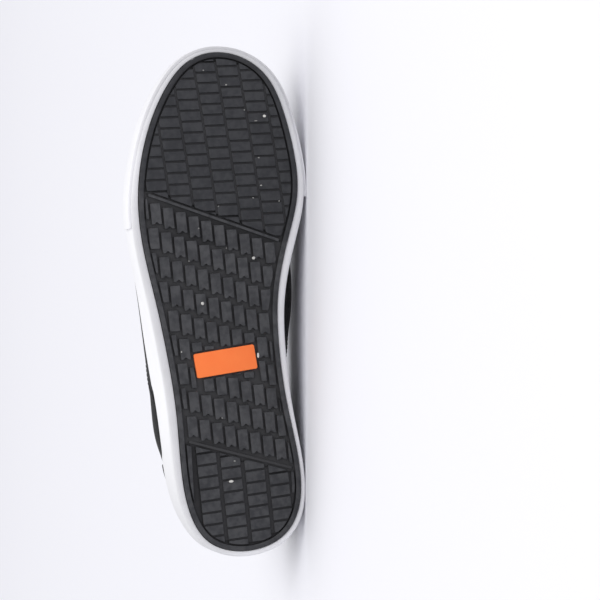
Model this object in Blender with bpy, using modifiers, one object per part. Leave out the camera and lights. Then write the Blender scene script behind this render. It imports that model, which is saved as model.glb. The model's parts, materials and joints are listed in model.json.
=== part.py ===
"""Right-foot slip-on sneaker, lying on its inner side with the sole turned towards -Y.

Every piece is shaped with the shoe standing, in millimetres: x runs from the heel end of the outsole to
its toe end, y towards the inner (arch) side of the foot and z up from the tread. A parent empty then lays
the finished shoe down on the points that carry it.
"""

import math
from collections import namedtuple

import bmesh
import bpy
import numpy as np
from mathutils import Matrix, Vector

MM = 0.001
FULL_TURN = 2 * math.pi

# Sole sizes
SOLE_LENGTH = 287.0
SOLE_THICK = 10.0
TREAD_DEPTH = 2.0
RIM_WIDTH = 2.8
RIM_GROOVE = 0.9
TOE_SPRING = 11.0
SPRING_START = 0.66
ARCH_RISE = 1.2
ARCH_FROM = 0.24
ARCH_TO = 0.60

# Fits and walls
FIT_GAP = 0.3
UPPER_WALL = 2.0
INSOLE_THICK = 4.0
INSOLE_CLEARANCE = 1.2

# Foxing band and toe strip
FOXING_LIFT = 1.3
FOXING_TOP_THICK = 2.2
FOXING_EDGE = 1.3
FOXING_EDGE_SHARE = 0.09
FOXING_STEP = 0.5
FOXING_STEP_SHARE = 0.80
FOXING_STEP_HALF = 0.02
WINDOW_FROM = 0.185
WINDOW_TO = 0.345
WINDOW_EASE = 0.022
WINDOW_DIP = 3.6
TOE_STRIP_THICK = 1.4
TOE_STRIP_OUTER_END = 0.655
TOE_STRIP_INNER_END = 0.705
TOE_STRIP_LOW = 0.09
TOE_STRIP_HIGH = 0.74
TOE_STRIP_BEVEL_OUT = 0.5
TOE_STRIP_BEVEL_SHARE = 0.03
TOE_STRIP_STEPS = 28

# Overlays on the upper
COUNTER_END = 0.175
COUNTER_THICK = 1.2
COUNTER_LOW = 1.05
COUNTER_HIGH = 1.78
COUNTER_DROP = 0.26
COUNTER_COLUMNS = 21
COUNTER_ROWS = 5
GORE_THICK = 1.6
GORE_SUNK = 0.2
GORE_CLEARANCE = 0.35
GORE_FOOT_CLEARANCE = 0.012
GORE_FIRST_COLUMN = 18
GORE_LAST_COLUMN = 20
GORE_FIRST_ROW = 7
BINDING_HIGH = 4.6
BINDING_WIDE = 4.0

# Label plate let into the waist of the tread
LABEL_X = 109.0
LABEL_Y = -5.4
LABEL_WIDE = 35.6
LABEL_LONG = 14.1
LABEL_TURN = 6.2
LABEL_CORNER = 1.2
LABEL_CORNER_STEPS = 2
LABEL_RECESS = 0.2
LABEL_MARGIN = 1.0

# Mesh steps round the shoe and up the upper
LOOP = 72
BAND_ROWS = (0.0, 0.5, 1.0)
UPPER_ROWS = (1.06, 1.15, 1.27, 1.40, 1.53, 1.66, 1.80, 1.91, 2.0)
BINDING_SIDES = 6

# Tread zones: the forefoot and heel divider grooves, each with a rib on its waist side
DIVIDER_HALF_GROOVE = 0.5
DIVIDER_RIB = 1.5
DIVIDER_CLEAR = 1.2
DIVIDER_STEPS = 5
LUG_ROOT = 0.6
SMALLEST_LUG = 20.0
SHORTEST_EDGE = 0.15
NEAR_RIM = 8.0

Station = namedtuple("Station", "along outer inner")
SOLE_STATIONS = (
    Station(0.00, 0.0, 0.0),
    Station(0.02, 19.3, 20.7),
    Station(0.06, 28.0, 30.5),
    Station(0.12, 32.7, 34.4),
    Station(0.20, 34.4, 32.9),
    Station(0.30, 35.5, 28.4),
    Station(0.40, 38.6, 26.2),
    Station(0.50, 43.2, 26.8),
    Station(0.60, 48.6, 32.9),
    Station(0.70, 50.7, 41.0),
    Station(0.80, 46.6, 40.6),
    Station(0.88, 38.5, 36.3),
    Station(0.94, 28.6, 29.9),
    Station(0.98, 17.7, 19.1),
    Station(1.00, 0.0, 0.0),
)

Band = namedtuple("Band", "along height thick_outer thick_inner lean_outer lean_inner")
FOXING_BANDS = (
    Band(0.00, 27.5, 3.0, 3.0, 1.6, 1.6),
    Band(0.06, 27.3, 3.4, 3.1, 2.3, 1.2),
    Band(0.12, 27.2, 3.9, 2.7, 4.0, 1.0),
    Band(0.25, 26.4, 4.4, 2.7, 6.3, 1.8),
    Band(0.36, 26.5, 4.7, 3.5, 7.1, 3.8),
    Band(0.46, 26.5, 4.7, 4.0, 6.1, 4.8),
    Band(0.56, 26.4, 4.4, 4.4, 4.0, 4.6),
    Band(0.66, 25.7, 4.1, 4.6, 3.5, 1.6),
    Band(0.76, 25.2, 3.1, 3.8, 2.7, 0.5),
    Band(0.88, 25.0, 2.6, 3.7, 2.2, 0.4),
    Band(1.00, 25.0, 2.0, 2.0, 0.6, 0.6),
)

Rib = namedtuple("Rib", "place along top_x top_y top_z heading fall belly_outer belly_inner rise reach")
UPPER_RIBS = (
    Rib("heel back", 0.000, 9.0, 0.0, 71.0, 180.0, 24.0, 0.6, 0.6, 15.0, 16.0),
    Rib("heel turn", 0.030, 14.0, 18.0, 70.0, 138.0, 22.0, -0.8, 2.0, 15.0, 16.0),
    Rib("heel side", 0.110, 33.0, 29.5, 66.0, 104.0, 18.0, -2.0, 3.6, 14.0, 15.0),
    Rib("rear quarter", 0.170, 48.8, 32.4, 62.0, 96.5, 15.4, 1.6, 4.9, 13.0, 13.2),
    Rib("quarter", 0.220, 62.0, 33.5, 59.0, 92.0, 14.0, 10.0, 6.0, 12.0, 12.0),
    Rib("ankle", 0.330, 87.0, 33.5, 56.5, 88.0, 14.0, 9.4, 7.0, 11.0, 11.0),
    Rib("waist", 0.430, 108.0, 32.0, 60.5, 84.0, 22.0, 6.6, 15.6, 12.0, 14.0),
    Rib("gore", 0.540, 129.0, 28.5, 70.0, 74.0, 34.0, 4.5, 18.6, 14.0, 22.0),
    Rib("throat side", 0.640, 142.5, 22.0, 79.0, 54.0, 48.0, 1.5, 8.0, 15.0, 36.0),
    Rib("ball", 0.760, 148.5, 14.0, 84.0, 33.0, 58.0, 0.5, 1.0, 17.0, 54.0),
    Rib("toe side", 0.900, 150.6, 6.8, 86.0, 14.0, 62.5, 0.0, 0.0, 19.0, 80.0),
    Rib("toe tip", 1.000, 151.0, 0.0, 86.5, 0.0, 64.0, 0.0, 0.0, 20.0, 92.0),
)

Divider = namedtuple("Divider", "outer_x outer_y inner_x inner_y rib_side")
FOREFOOT_DIVIDER = Divider(207.7, -45.4, 177.6, 30.4, -1)
HEEL_DIVIDER = Divider(63.4, -30.2, 44.2, 30.2, 1)

# Bricks: columns stepped back by a share of the row pitch, which closes up towards the toe
BRICK_SIZES = "x y pitch_y pitch_x width gap drift slope stagger closing"
Brick = namedtuple("Brick", BRICK_SIZES + " first_column last_column rows")
FOREFOOT_BRICKS = Brick(238.25, 9.5, 13.0, 6.4, 12.0, 1.0, -0.09, 0.0, -0.455, 0.004, -5, 3, 12)
HEEL_BRICKS = Brick(37.95, -5.2, 13.6, 6.85, 11.4, 1.0, -0.05, 0.08, -0.35, 0.0, -1, 2, 6)

# Waist bars: rows from the forefoot divider back, each row stepped sideways on the last
BAR_ROWS = 9
BAR_ROW_PITCH = 14.35
BAR_ROW_X = 172.95
BAR_SLOPE_FRONT = -0.39
BAR_SLOPE_STEP = 0.009
BAR_PITCH = 7.22
BAR_WIDTH = 5.9
BAR_LENGTH = 12.3
BAR_FIRST_Y = -12.4
BAR_ROW_SHIFT = -1.79
BAR_DRIFT = -0.05
BAR_COLUMNS = 9
BAR_NOTCH_DEEP = 1.5
BAR_NOTCH_HALF = 1.6
WHOLE_SHARE = 0.999

# Rails beside the heel bricks: long lugs with no cross grooves
Rail = namedtuple("Rail", "x_from x_to y_from y_to")
HEEL_RAILS = (Rail(14.0, 66.0, -36.0, -28.0), Rail(31.0, 52.0, 29.0, 36.0))

# Weight of each material against water, used to find the balance point
RUBBER_DENSITY = 1.1
CLOTH_DENSITY = 0.75
FOAM_DENSITY = 0.25


def smooth_curve(knots, values, flat_ends):
    """Cubic spline through a table column, with zero slope at heel and toe where flat_ends is set."""
    knots = np.asarray(knots, float)
    values = np.asarray(values, float)
    step = np.diff(knots)
    rise = np.diff(values) / step
    count = len(knots)
    system = np.zeros((count, count))
    right = np.zeros(count)
    for k in range(1, count - 1):
        system[k, k - 1 : k + 2] = step[k - 1], 2 * (step[k - 1] + step[k]), step[k]
        right[k] = 6 * (rise[k] - rise[k - 1])
    if flat_ends:
        system[0, :2] = 2 * step[0], step[0]
        system[-1, -2:] = step[-1], 2 * step[-1]
        right[0] = 6 * rise[0]
        right[-1] = -6 * rise[-1]
    else:
        system[0, 0] = 1
        system[-1, -1] = 1
    bend = np.linalg.solve(system, right)

    def at(place):
        place = np.asarray(place, float)
        k = np.clip(np.searchsorted(knots, place) - 1, 0, count - 2)
        ahead = knots[k + 1] - place
        behind = place - knots[k]
        curved = (bend[k] * ahead**3 + bend[k + 1] * behind**3) / (6 * step[k])
        start = (values[k] / step[k] - bend[k] * step[k] / 6) * ahead
        end = (values[k + 1] / step[k] - bend[k + 1] * step[k] / 6) * behind
        return curved + start + end

    return at


def heel_to_toe_angle(along):
    """Loop angle, 0 at the heel and pi at the toe, of a share of the sole length."""
    return np.arccos(1 - 2 * np.asarray(along, float))


def columns_of(table, odd_columns):
    """One smooth curve over the loop angle for each number column of a table."""
    knots = heel_to_toe_angle([row.along for row in table])
    curves = {}
    for name in table[0]._fields:
        if name not in ("along", "place"):
            values = [getattr(row, name) for row in table]
            curves[name] = smooth_curve(knots, values, name not in odd_columns)
    return curves


SOLE = columns_of(SOLE_STATIONS, ("outer", "inner"))
BAND = columns_of(FOXING_BANDS, ())
RIB = columns_of(UPPER_RIBS, ("top_y", "heading"))


def folded(angle):
    """A loop angle brought to 0..pi, and the side it lies on: -1 outer, +1 inner."""
    angle = np.mod(angle, FULL_TURN)
    return np.minimum(angle, FULL_TURN - angle), np.where(angle <= math.pi, -1.0, 1.0)


def by_side(side, outer, inner):
    return np.where(side < 0, outer, inner)


def ground_rise(x):
    """Height of the tread plane: toe spring in front of the ball and a slight arch at the waist."""
    along = np.asarray(x, float) / SOLE_LENGTH
    spring = np.clip((along - SPRING_START) / (1 - SPRING_START), 0, 1)
    arch = np.clip((along - ARCH_FROM) / (ARCH_TO - ARCH_FROM), 0, 1)
    return TOE_SPRING * spring**2 + ARCH_RISE * np.sin(math.pi * arch) ** 2


def edge_point(angle):
    fold, side = folded(angle)
    x = SOLE_LENGTH / 2 * (1 - np.cos(fold))
    y = by_side(side, -SOLE["outer"](fold), SOLE["inner"](fold))
    return np.stack([x, y], axis=-1)


def edge_normal(angle):
    """Outward unit normal of the sole outline, in plan."""
    small = 1e-3
    along = edge_point(angle + small) - edge_point(angle - small)
    across = np.stack([along[..., 1], -along[..., 0]], axis=-1)
    return across / np.linalg.norm(across, axis=-1, keepdims=True)


def edge_ring(angle, out, height):
    """Points at a distance out from the outsole's side and a height above the tread plane."""
    flat = edge_point(angle) + edge_normal(angle) * np.asarray(out, float)[..., None]
    ground = ground_rise(edge_point(angle)[..., 0])
    return np.concatenate([flat, (ground + height)[..., None]], axis=-1)


def foxing_height(angle):
    """Top of the foxing above the tread plane, with the shallow dip on the quarters."""
    fold, _ = folded(angle)
    along = (1 - np.cos(fold)) / 2
    opening = np.clip((along - WINDOW_FROM) / WINDOW_EASE, 0, 1)
    closing = np.clip((WINDOW_TO - along) / WINDOW_EASE, 0, 1)
    share = np.minimum(opening, closing)
    return BAND["height"](fold) - WINDOW_DIP * share * share * (3 - 2 * share)


def foxing_lean(angle):
    """How far the upper and the top of the foxing lean out beyond the outsole."""
    fold, side = folded(angle)
    return by_side(side, BAND["lean_outer"](fold), BAND["lean_inner"](fold))


def foxing_thick(angle):
    """Thickness of the foxing at its foot edge."""
    fold, side = folded(angle)
    return by_side(side, BAND["thick_outer"](fold), BAND["thick_inner"](fold))


def upper_point(angle, row):
    """The upper's outer face: rows 0 to 1 stand inside the foxing, rows 1 to 2 rise to the top-line."""
    angle, row = np.broadcast_arrays(np.asarray(angle, float), np.asarray(row, float))
    fold, side = folded(angle)
    zero = np.zeros_like(angle)
    foot = edge_ring(angle, zero, SOLE_THICK + FIT_GAP)
    knee = edge_ring(angle, foxing_lean(angle), foxing_height(angle))
    top = np.stack([RIB["top_x"](fold), side * RIB["top_y"](fold), RIB["top_z"](fold)], axis=-1)
    heading = np.radians(RIB["heading"](fold))
    fall = np.radians(RIB["fall"](fold))
    out = np.stack([np.cos(heading), side * np.sin(heading), zero], axis=-1)
    up = np.array([0.0, 0.0, 1.0])
    belly = by_side(side, RIB["belly_outer"](fold), RIB["belly_inner"](fold))
    outward = np.concatenate([edge_normal(angle), zero[..., None]], axis=-1)
    low = knee + up * RIB["rise"](fold)[..., None] + outward * belly[..., None]
    reach = RIB["reach"](fold)[..., None]
    high = top + (out * np.sin(fall)[..., None] - up * np.cos(fall)[..., None]) * reach
    band = np.clip(row, 0, 1)[..., None]
    t = np.clip(row - 1, 0, 1)[..., None]
    arc = knee * (1 - t) ** 3 + 3 * low * t * (1 - t) ** 2 + 3 * high * t**2 * (1 - t) + top * t**3
    return np.where(row[..., None] <= 1, foot + (knee - foot) * band, arc)


def upper_directions(angle, row):
    """Unit outward normal of the upper and unit direction up its wall."""
    small = 2e-3
    round_shoe = upper_point(angle + small, row) - upper_point(angle - small, row)
    up_wall = upper_point(angle, np.minimum(row + small, 2.0)) - upper_point(angle, row - small)
    up_wall = up_wall / np.linalg.norm(up_wall, axis=-1, keepdims=True)
    normal = np.cross(round_shoe, up_wall)
    return normal / np.linalg.norm(normal, axis=-1, keepdims=True), up_wall


def upper_offset(angle, row, out):
    angle, row = np.broadcast_arrays(np.asarray(angle, float), np.asarray(row, float))
    normal, _ = upper_directions(angle, row)
    return upper_point(angle, row) + normal * out


def foxing_face(angle, share, out):
    """Point on the foxing's outer side at a share of its height, moved out by a distance."""
    bottom = FIT_GAP + foxing_thick(angle)
    top = FIT_GAP + FOXING_TOP_THICK + foxing_lean(angle)
    height = FOXING_LIFT + (foxing_height(angle) - FOXING_LIFT) * share
    return edge_ring(angle, bottom + (top - bottom) * share + out, height)


def add_object(name, mesh_builder, collection):
    """Turn a bmesh in millimetres into an object in metres."""
    bmesh.ops.recalc_face_normals(mesh_builder, faces=mesh_builder.faces)
    mesh = bpy.data.meshes.new(name)
    mesh_builder.to_mesh(mesh)
    mesh_builder.free()
    mesh.transform(Matrix.Scale(MM, 4))
    piece = bpy.data.objects.new(name, mesh)
    collection.objects.link(piece)
    piece.parent = shoe_rest
    return piece


def ring_of_verts(builder, points):
    return [builder.verts.new(point) for point in points]


def bridge(builder, first, second, closed):
    """Faces between two rows of the same number of vertices."""
    count = len(first)
    for k in range(count if closed else count - 1):
        n = (k + 1) % count
        builder.faces.new((first[k], first[n], second[n], second[k]))


def band_solid(builder, sections, closed_path):
    """Solid swept from a row of closed sections, capped at both ends where the path is open."""
    rings = [ring_of_verts(builder, section) for section in sections]
    count = len(rings)
    for k in range(count if closed_path else count - 1):
        bridge(builder, rings[k], rings[(k + 1) % count], True)
    if not closed_path:
        builder.faces.new(rings[0])
        builder.faces.new(rings[-1])


def cross_fill(builder, ring):
    """Faces straight across the shoe between the outer and inner halves of a loop."""
    half = len(ring) // 2
    for k in range(half):
        outer_here, outer_next = ring[k], ring[k + 1]
        inner_here, inner_next = ring[-k % len(ring)], ring[-(k + 1) % len(ring)]
        corners = [outer_here, outer_next, inner_next, inner_here]
        builder.faces.new(list(dict.fromkeys(corners)))


def set_material(piece, name, colour, roughness):
    material = bpy.data.materials.new(name)
    material.use_nodes = True
    shader = material.node_tree.nodes["Principled BSDF"]
    shader.inputs["Base Color"].default_value = (*colour, 1.0)
    shader.inputs["Roughness"].default_value = roughness
    piece.data.materials.append(material)


def add_shell(piece, thickness, offset):
    shell = piece.modifiers.new("wall", "SOLIDIFY")
    shell.thickness = thickness * MM
    shell.offset = offset
    shell.use_even_offset = True
    shell.use_quality_normals = True


def new_collection(name):
    collection = bpy.data.collections.new(name)
    bpy.context.scene.collection.children.link(collection)
    return collection


# Tread drawing in plan
def line_of(divider):
    """A point on a divider and its unit normal, pointing to the toe."""
    start = np.array([divider.outer_x, divider.outer_y])
    along = np.array([divider.inner_x, divider.inner_y]) - start
    normal = np.array([along[1], -along[0]]) / np.linalg.norm(along)
    return start, normal


def clipped(polygon, point, normal):
    """The part of a polygon on the back of a line."""
    kept = []
    for k, here in enumerate(polygon):
        before = polygon[k - 1]
        depth_here = float(np.dot(here - point, normal))
        depth_before = float(np.dot(before - point, normal))
        if depth_here * depth_before < 0:
            share = depth_before / (depth_before - depth_here)
            kept.append(before + (here - before) * share)
        if depth_here <= 0:
            kept.append(here)
    return kept


def area_of(polygon):
    corners = np.array(polygon)
    following = np.roll(corners, -1, axis=0)
    return abs(np.sum(corners[:, 0] * following[:, 1] - corners[:, 1] * following[:, 0])) / 2


def inside_rim(polygon):
    """Cut a lug back to the groove inside the rim."""
    angle = np.arange(2 * LOOP) * FULL_TURN / (2 * LOOP)
    normals = edge_normal(angle)
    points = edge_point(angle) - normals * (RIM_WIDTH + RIM_GROOVE)
    centre = np.mean(polygon, axis=0)
    radius = max(np.linalg.norm(corner - centre) for corner in polygon)
    distances = np.linalg.norm(points - centre, axis=1)
    nearest = np.argmin(distances)
    if np.dot(centre - points[nearest], normals[nearest]) > radius:
        return []
    for point, normal, distance in zip(points, normals, distances):
        if len(polygon) > 2 and distance < radius + NEAR_RIM:
            polygon = clipped(polygon, point, normal)
    return polygon


def clear_of_label(polygon):
    """The largest part of a lug left outside the label and its margin."""
    turn = math.radians(LABEL_TURN)
    across = np.array([math.sin(turn), math.cos(turn)])
    forward = np.array([math.cos(turn), -math.sin(turn)])
    centre = np.array([LABEL_X, LABEL_Y])
    half_wide = LABEL_WIDE / 2 + LABEL_MARGIN
    half_long = LABEL_LONG / 2 + LABEL_MARGIN
    inside = polygon
    parts = []
    sides = ((across, half_wide), (forward, half_long))
    for direction, half in [(sign * way, half) for way, half in sides for sign in (1, -1)]:
        edge = centre + direction * half
        parts.append(clipped(polygon, edge, -direction))
        inside = clipped(inside, edge, direction) if len(inside) > 2 else inside
    if len(inside) < 3:
        return polygon
    return max((part for part in parts if len(part) > 2), key=area_of, default=[])


def brick_lugs(bricks, limits):
    """Columns of bricks, each stepped back on the last, cut by the rim and by the zone's limit lines."""
    lugs = []
    for column in range(bricks.first_column, bricks.last_column + 1):
        for row in range(-bricks.rows, bricks.rows + 1):
            lug = []
            for end, flank in ((-1, -1), (1, -1), (1, 1), (-1, 1)):
                step = row + bricks.stagger * column + end / 2
                x = bricks.x + bricks.pitch_x * step * (1 - bricks.closing * step) - end * bricks.gap / 2
                side = flank * bricks.width / 2
                y = bricks.y + column * bricks.pitch_y + bricks.drift * (x - bricks.x) + side
                lug.append(np.array([x + bricks.slope * side, y]))
            lugs.append(cut_to_zone(lug, limits))
    return lugs


def bar_lugs(limits):
    """Long waist bars in slanting rows, each with a notch in its heel end."""
    lugs = []
    for row in range(-1, BAR_ROWS):
        slope = BAR_SLOPE_FRONT + BAR_SLOPE_STEP * row
        for column in range(-BAR_COLUMNS, BAR_COLUMNS):
            y = BAR_FIRST_Y + row * BAR_ROW_SHIFT + column * BAR_PITCH
            heel_x = BAR_ROW_X - row * BAR_ROW_PITCH + slope * y
            lean = BAR_DRIFT * BAR_LENGTH / 2
            low_y, high_y = y - lean, y + lean
            half = BAR_WIDTH / 2
            outline = [
                (heel_x, low_y - half),
                (heel_x, low_y - BAR_NOTCH_HALF),
                (heel_x + BAR_NOTCH_DEEP, low_y),
                (heel_x, low_y + BAR_NOTCH_HALF),
                (heel_x, low_y + half),
                (heel_x + BAR_LENGTH, high_y + half),
                (heel_x + BAR_LENGTH, high_y - half),
            ]
            notched = [np.array(corner) for corner in outline]
            plain = notched[:1] + notched[4:]
            whole = area_of(plain)
            cut = cut_to_zone(plain, limits)
            uncut = len(cut) > 2 and area_of(cut) > WHOLE_SHARE * whole
            lugs.append(notched if uncut else cut)
    return lugs


def rail_lugs(limits):
    lugs = []
    for rail in HEEL_RAILS:
        low, high = (rail.x_from, rail.y_from), (rail.x_to, rail.y_to)
        corners = (low, (high[0], low[1]), high, (low[0], high[1]))
        lugs.append(cut_to_zone([np.array(corner) for corner in corners], limits))
    return lugs


def cut_to_zone(polygon, limits):
    for point, normal in limits:
        if len(polygon) > 2:
            polygon = clipped(polygon, point, normal)
    if len(polygon) > 2:
        polygon = inside_rim(polygon)
    if len(polygon) > 2:
        polygon = clear_of_label(polygon)
    return [
        corner
        for k, corner in enumerate(polygon)
        if np.linalg.norm(corner - polygon[k - 1]) > SHORTEST_EDGE
    ]


def divider_rib(divider):
    """Narrow rib beside a divider groove."""
    point, normal = line_of(divider)
    other = np.array([divider.inner_x, divider.inner_y])
    near = normal * divider.rib_side * DIVIDER_HALF_GROOVE
    far = normal * divider.rib_side * (DIVIDER_HALF_GROOVE + DIVIDER_RIB)
    steps = np.linspace(0, 1, DIVIDER_STEPS)
    front = [point + near + (other - point) * step for step in steps]
    back = [point + far + (other - point) * step for step in steps[::-1]]
    return front + back


def tread_lugs():
    fore_point, fore_normal = line_of(FOREFOOT_DIVIDER)
    heel_point, heel_normal = line_of(HEEL_DIVIDER)
    half = DIVIDER_HALF_GROOVE
    beyond = DIVIDER_HALF_GROOVE + DIVIDER_RIB + DIVIDER_CLEAR
    fore_limits = ((fore_point + fore_normal * half, -fore_normal),)
    heel_limits = ((heel_point - heel_normal * half, heel_normal),)
    waist_limits = (
        (fore_point - fore_normal * beyond, fore_normal),
        (heel_point + heel_normal * beyond, -heel_normal),
    )
    lugs = brick_lugs(FOREFOOT_BRICKS, fore_limits) + brick_lugs(HEEL_BRICKS, heel_limits)
    lugs += rail_lugs(heel_limits) + bar_lugs(waist_limits)
    lugs = [lug for lug in lugs if len(lug) > 2 and area_of(lug) > SMALLEST_LUG]
    return lugs + [divider_rib(FOREFOOT_DIVIDER), divider_rib(HEEL_DIVIDER)]


def add_prism(builder, polygon, low, high):
    """A lug standing between two heights above the tread plane."""
    corners = np.array(polygon)
    ground = ground_rise(corners[:, 0])
    bottom = ring_of_verts(builder, np.column_stack([corners, ground + low]))
    top = ring_of_verts(builder, np.column_stack([corners, ground + high]))
    bridge(builder, bottom, top, True)
    builder.faces.new(bottom)
    builder.faces.new(top)


# Start from an empty scene
for leftover in list(bpy.data.objects):
    bpy.data.objects.remove(leftover, do_unlink=True)

shoe_collection = new_collection("slip_on_sneaker")
helper_collection = new_collection("helpers")
shoe_rest = bpy.data.objects.new("shoe_rest", None)
shoe_collection.objects.link(shoe_rest)

loop = np.arange(LOOP) * FULL_TURN / LOOP
level = np.ones(LOOP)


# Outsole: a plate with a raised rim round its lower face, and the tread lugs joined to its floor
def build_outsole():
    builder = bmesh.new()
    top = ring_of_verts(builder, edge_ring(loop, 0 * level, SOLE_THICK))
    bottom = ring_of_verts(builder, edge_ring(loop, 0 * level, 0.0))
    rim = ring_of_verts(builder, edge_ring(loop, -RIM_WIDTH * level, 0.0))
    floor = ring_of_verts(builder, edge_ring(loop, -RIM_WIDTH * level, TREAD_DEPTH))
    for first, second in ((top, bottom), (bottom, rim), (rim, floor)):
        bridge(builder, first, second, True)
    cross_fill(builder, floor)
    cross_fill(builder, top)
    outsole = add_object("outsole", builder, shoe_collection)
    builder = bmesh.new()
    for lug in tread_lugs():
        add_prism(builder, lug, 0.0, TREAD_DEPTH + LUG_ROOT)
    lugs = add_object("tread_lugs", builder, helper_collection)
    lugs.hide_render = True
    lugs.display_type = "WIRE"
    join = outsole.modifiers.new("tread", "BOOLEAN")
    join.operation = "UNION"
    join.solver = "EXACT"
    join.object = lugs
    set_material(outsole, "dark rubber", (0.045, 0.046, 0.05), 0.7)
    return outsole


# Label: a thin plate with rounded corners on the floor of the tread
def build_label():
    turn = math.radians(LABEL_TURN)
    forward = np.array([math.cos(turn), -math.sin(turn)])
    across = np.array([math.sin(turn), math.cos(turn)])
    corners = []
    for quarter in range(4):
        sign_long = 1 if quarter in (0, 3) else -1
        sign_wide = 1 if quarter in (0, 1) else -1
        for step in range(LABEL_CORNER_STEPS + 1):
            angle = (quarter + step / LABEL_CORNER_STEPS) * math.pi / 2
            long_side = sign_long * (LABEL_LONG / 2 - LABEL_CORNER) + LABEL_CORNER * math.cos(angle)
            wide_side = sign_wide * (LABEL_WIDE / 2 - LABEL_CORNER) + LABEL_CORNER * math.sin(angle)
            corners.append(np.array([LABEL_X, LABEL_Y]) + forward * long_side + across * wide_side)
    builder = bmesh.new()
    add_prism(builder, corners, LABEL_RECESS, TREAD_DEPTH - FIT_GAP)
    label = add_object("sole_label", builder, shoe_collection)
    set_material(label, "orange rubber", (1.0, 0.22, 0.06), 0.5)
    return label


# Foxing: a closed band round the sole and the foot of the upper, stepped in near its top edge
def build_foxing():
    height = foxing_height(loop)
    step = FOXING_STEP_SHARE
    profile = [
        edge_ring(loop, FIT_GAP * level, FOXING_LIFT),
        edge_ring(loop, FIT_GAP * level, SOLE_THICK),
        edge_ring(loop, FIT_GAP + foxing_lean(loop), height),
        foxing_face(loop, 1.0 * level, -FOXING_STEP),
        foxing_face(loop, step + FOXING_STEP_HALF, -FOXING_STEP),
        foxing_face(loop, step - FOXING_STEP_HALF, 0.0),
        foxing_face(loop, FOXING_EDGE_SHARE * level, 0.0),
        edge_ring(loop, FIT_GAP + foxing_thick(loop) - FOXING_EDGE, FOXING_LIFT),
    ]
    sections = np.stack(profile, axis=1)
    builder = bmesh.new()
    band_solid(builder, sections, True)
    foxing = add_object("foxing", builder, shoe_collection)
    set_material(foxing, "white rubber", (0.85, 0.85, 0.87), 0.5)
    return foxing


# Toe strip: a second band over the foxing, from the outer ball round the toe to the inner ball
def build_toe_strip():
    start = float(heel_to_toe_angle(TOE_STRIP_OUTER_END))
    end = FULL_TURN - float(heel_to_toe_angle(TOE_STRIP_INNER_END))
    path = np.linspace(start, end, TOE_STRIP_STEPS)
    inner = FIT_GAP
    outer = FIT_GAP + TOE_STRIP_THICK
    profile = [
        foxing_face(path, TOE_STRIP_LOW, inner),
        foxing_face(path, TOE_STRIP_HIGH, inner),
        foxing_face(path, TOE_STRIP_HIGH, outer - TOE_STRIP_BEVEL_OUT),
        foxing_face(path, TOE_STRIP_HIGH - TOE_STRIP_BEVEL_SHARE, outer),
        foxing_face(path, TOE_STRIP_LOW + TOE_STRIP_BEVEL_SHARE, outer),
        foxing_face(path, TOE_STRIP_LOW, outer - TOE_STRIP_BEVEL_OUT),
    ]
    builder = bmesh.new()
    band_solid(builder, np.stack(profile, axis=1), False)
    strip = add_object("toe_strip", builder, shoe_collection)
    set_material(strip, "white strip rubber", (0.85, 0.85, 0.87), 0.5)
    return strip


def in_gore(column, row):
    """Whether a grid face of the upper lies in one of the two gore slots."""
    mirrored = min(column, LOOP - 1 - column)
    return GORE_FIRST_COLUMN <= mirrored <= GORE_LAST_COLUMN and row >= GORE_FIRST_ROW


# Upper: one hollow shell over the whole foot, with a slot for each gore
def build_upper():
    rows = BAND_ROWS + UPPER_ROWS
    builder = bmesh.new()
    rings = [ring_of_verts(builder, upper_point(loop, row)) for row in rows]
    for j in range(len(rows) - 1):
        for i in range(LOOP):
            n = (i + 1) % LOOP
            if not in_gore(i, j):
                builder.faces.new((rings[j][i], rings[j][n], rings[j + 1][n], rings[j + 1][i]))
    for vert in [vert for vert in builder.verts if not vert.link_faces]:
        builder.verts.remove(vert)
    upper = add_object("upper", builder, shoe_collection)
    add_shell(upper, UPPER_WALL, -1.0)
    set_material(upper, "black canvas", (0.012, 0.012, 0.014), 0.9)
    return upper


# Gores: elastic panels that fill the slots, a little inside the slot edges
def build_gore(name, mirrored):
    rows = BAND_ROWS + UPPER_ROWS
    step = FULL_TURN / LOOP
    angles = np.arange(GORE_FIRST_COLUMN, GORE_LAST_COLUMN + 2) * step
    inset = np.zeros_like(angles)
    inset[0] = 1.0
    inset[-1] = -1.0
    builder = bmesh.new()
    rings = []
    for k, row in enumerate(rows[GORE_FIRST_ROW:]):
        here = row + (GORE_FOOT_CLEARANCE if k == 0 else 0.0)
        column = upper_point(angles + step / 2, row) - upper_point(angles - step / 2, row)
        spread = np.linalg.norm(column, axis=-1)
        placed = angles + inset * step * GORE_CLEARANCE / spread
        placed = FULL_TURN - placed if mirrored else placed
        rings.append(ring_of_verts(builder, upper_offset(placed, here, -GORE_SUNK)))
    for first, second in zip(rings, rings[1:]):
        bridge(builder, first, second, False)
    gore = add_object(name, builder, shoe_collection)
    add_shell(gore, GORE_THICK, -1.0)
    set_material(gore, name + " elastic", (0.02, 0.02, 0.022), 0.95)
    return gore


# Heel counter: a cloth overlay round the back, its top edge falling away to the sides
def build_counter():
    end = float(heel_to_toe_angle(COUNTER_END))
    angles = np.linspace(-end, end, COUNTER_COLUMNS)
    fall = COUNTER_DROP * (angles / end) ** 2
    builder = bmesh.new()
    rings = []
    for share in np.linspace(0, 1, COUNTER_ROWS):
        row = COUNTER_LOW + (COUNTER_HIGH - fall - COUNTER_LOW) * share
        rings.append(ring_of_verts(builder, upper_offset(angles, row, FIT_GAP)))
    for first, second in zip(rings, rings[1:]):
        bridge(builder, first, second, False)
    counter = add_object("heel_counter", builder, shoe_collection)
    add_shell(counter, COUNTER_THICK, 1.0)
    set_material(counter, "black overlay cloth", (0.014, 0.014, 0.016), 0.85)
    return counter


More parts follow.
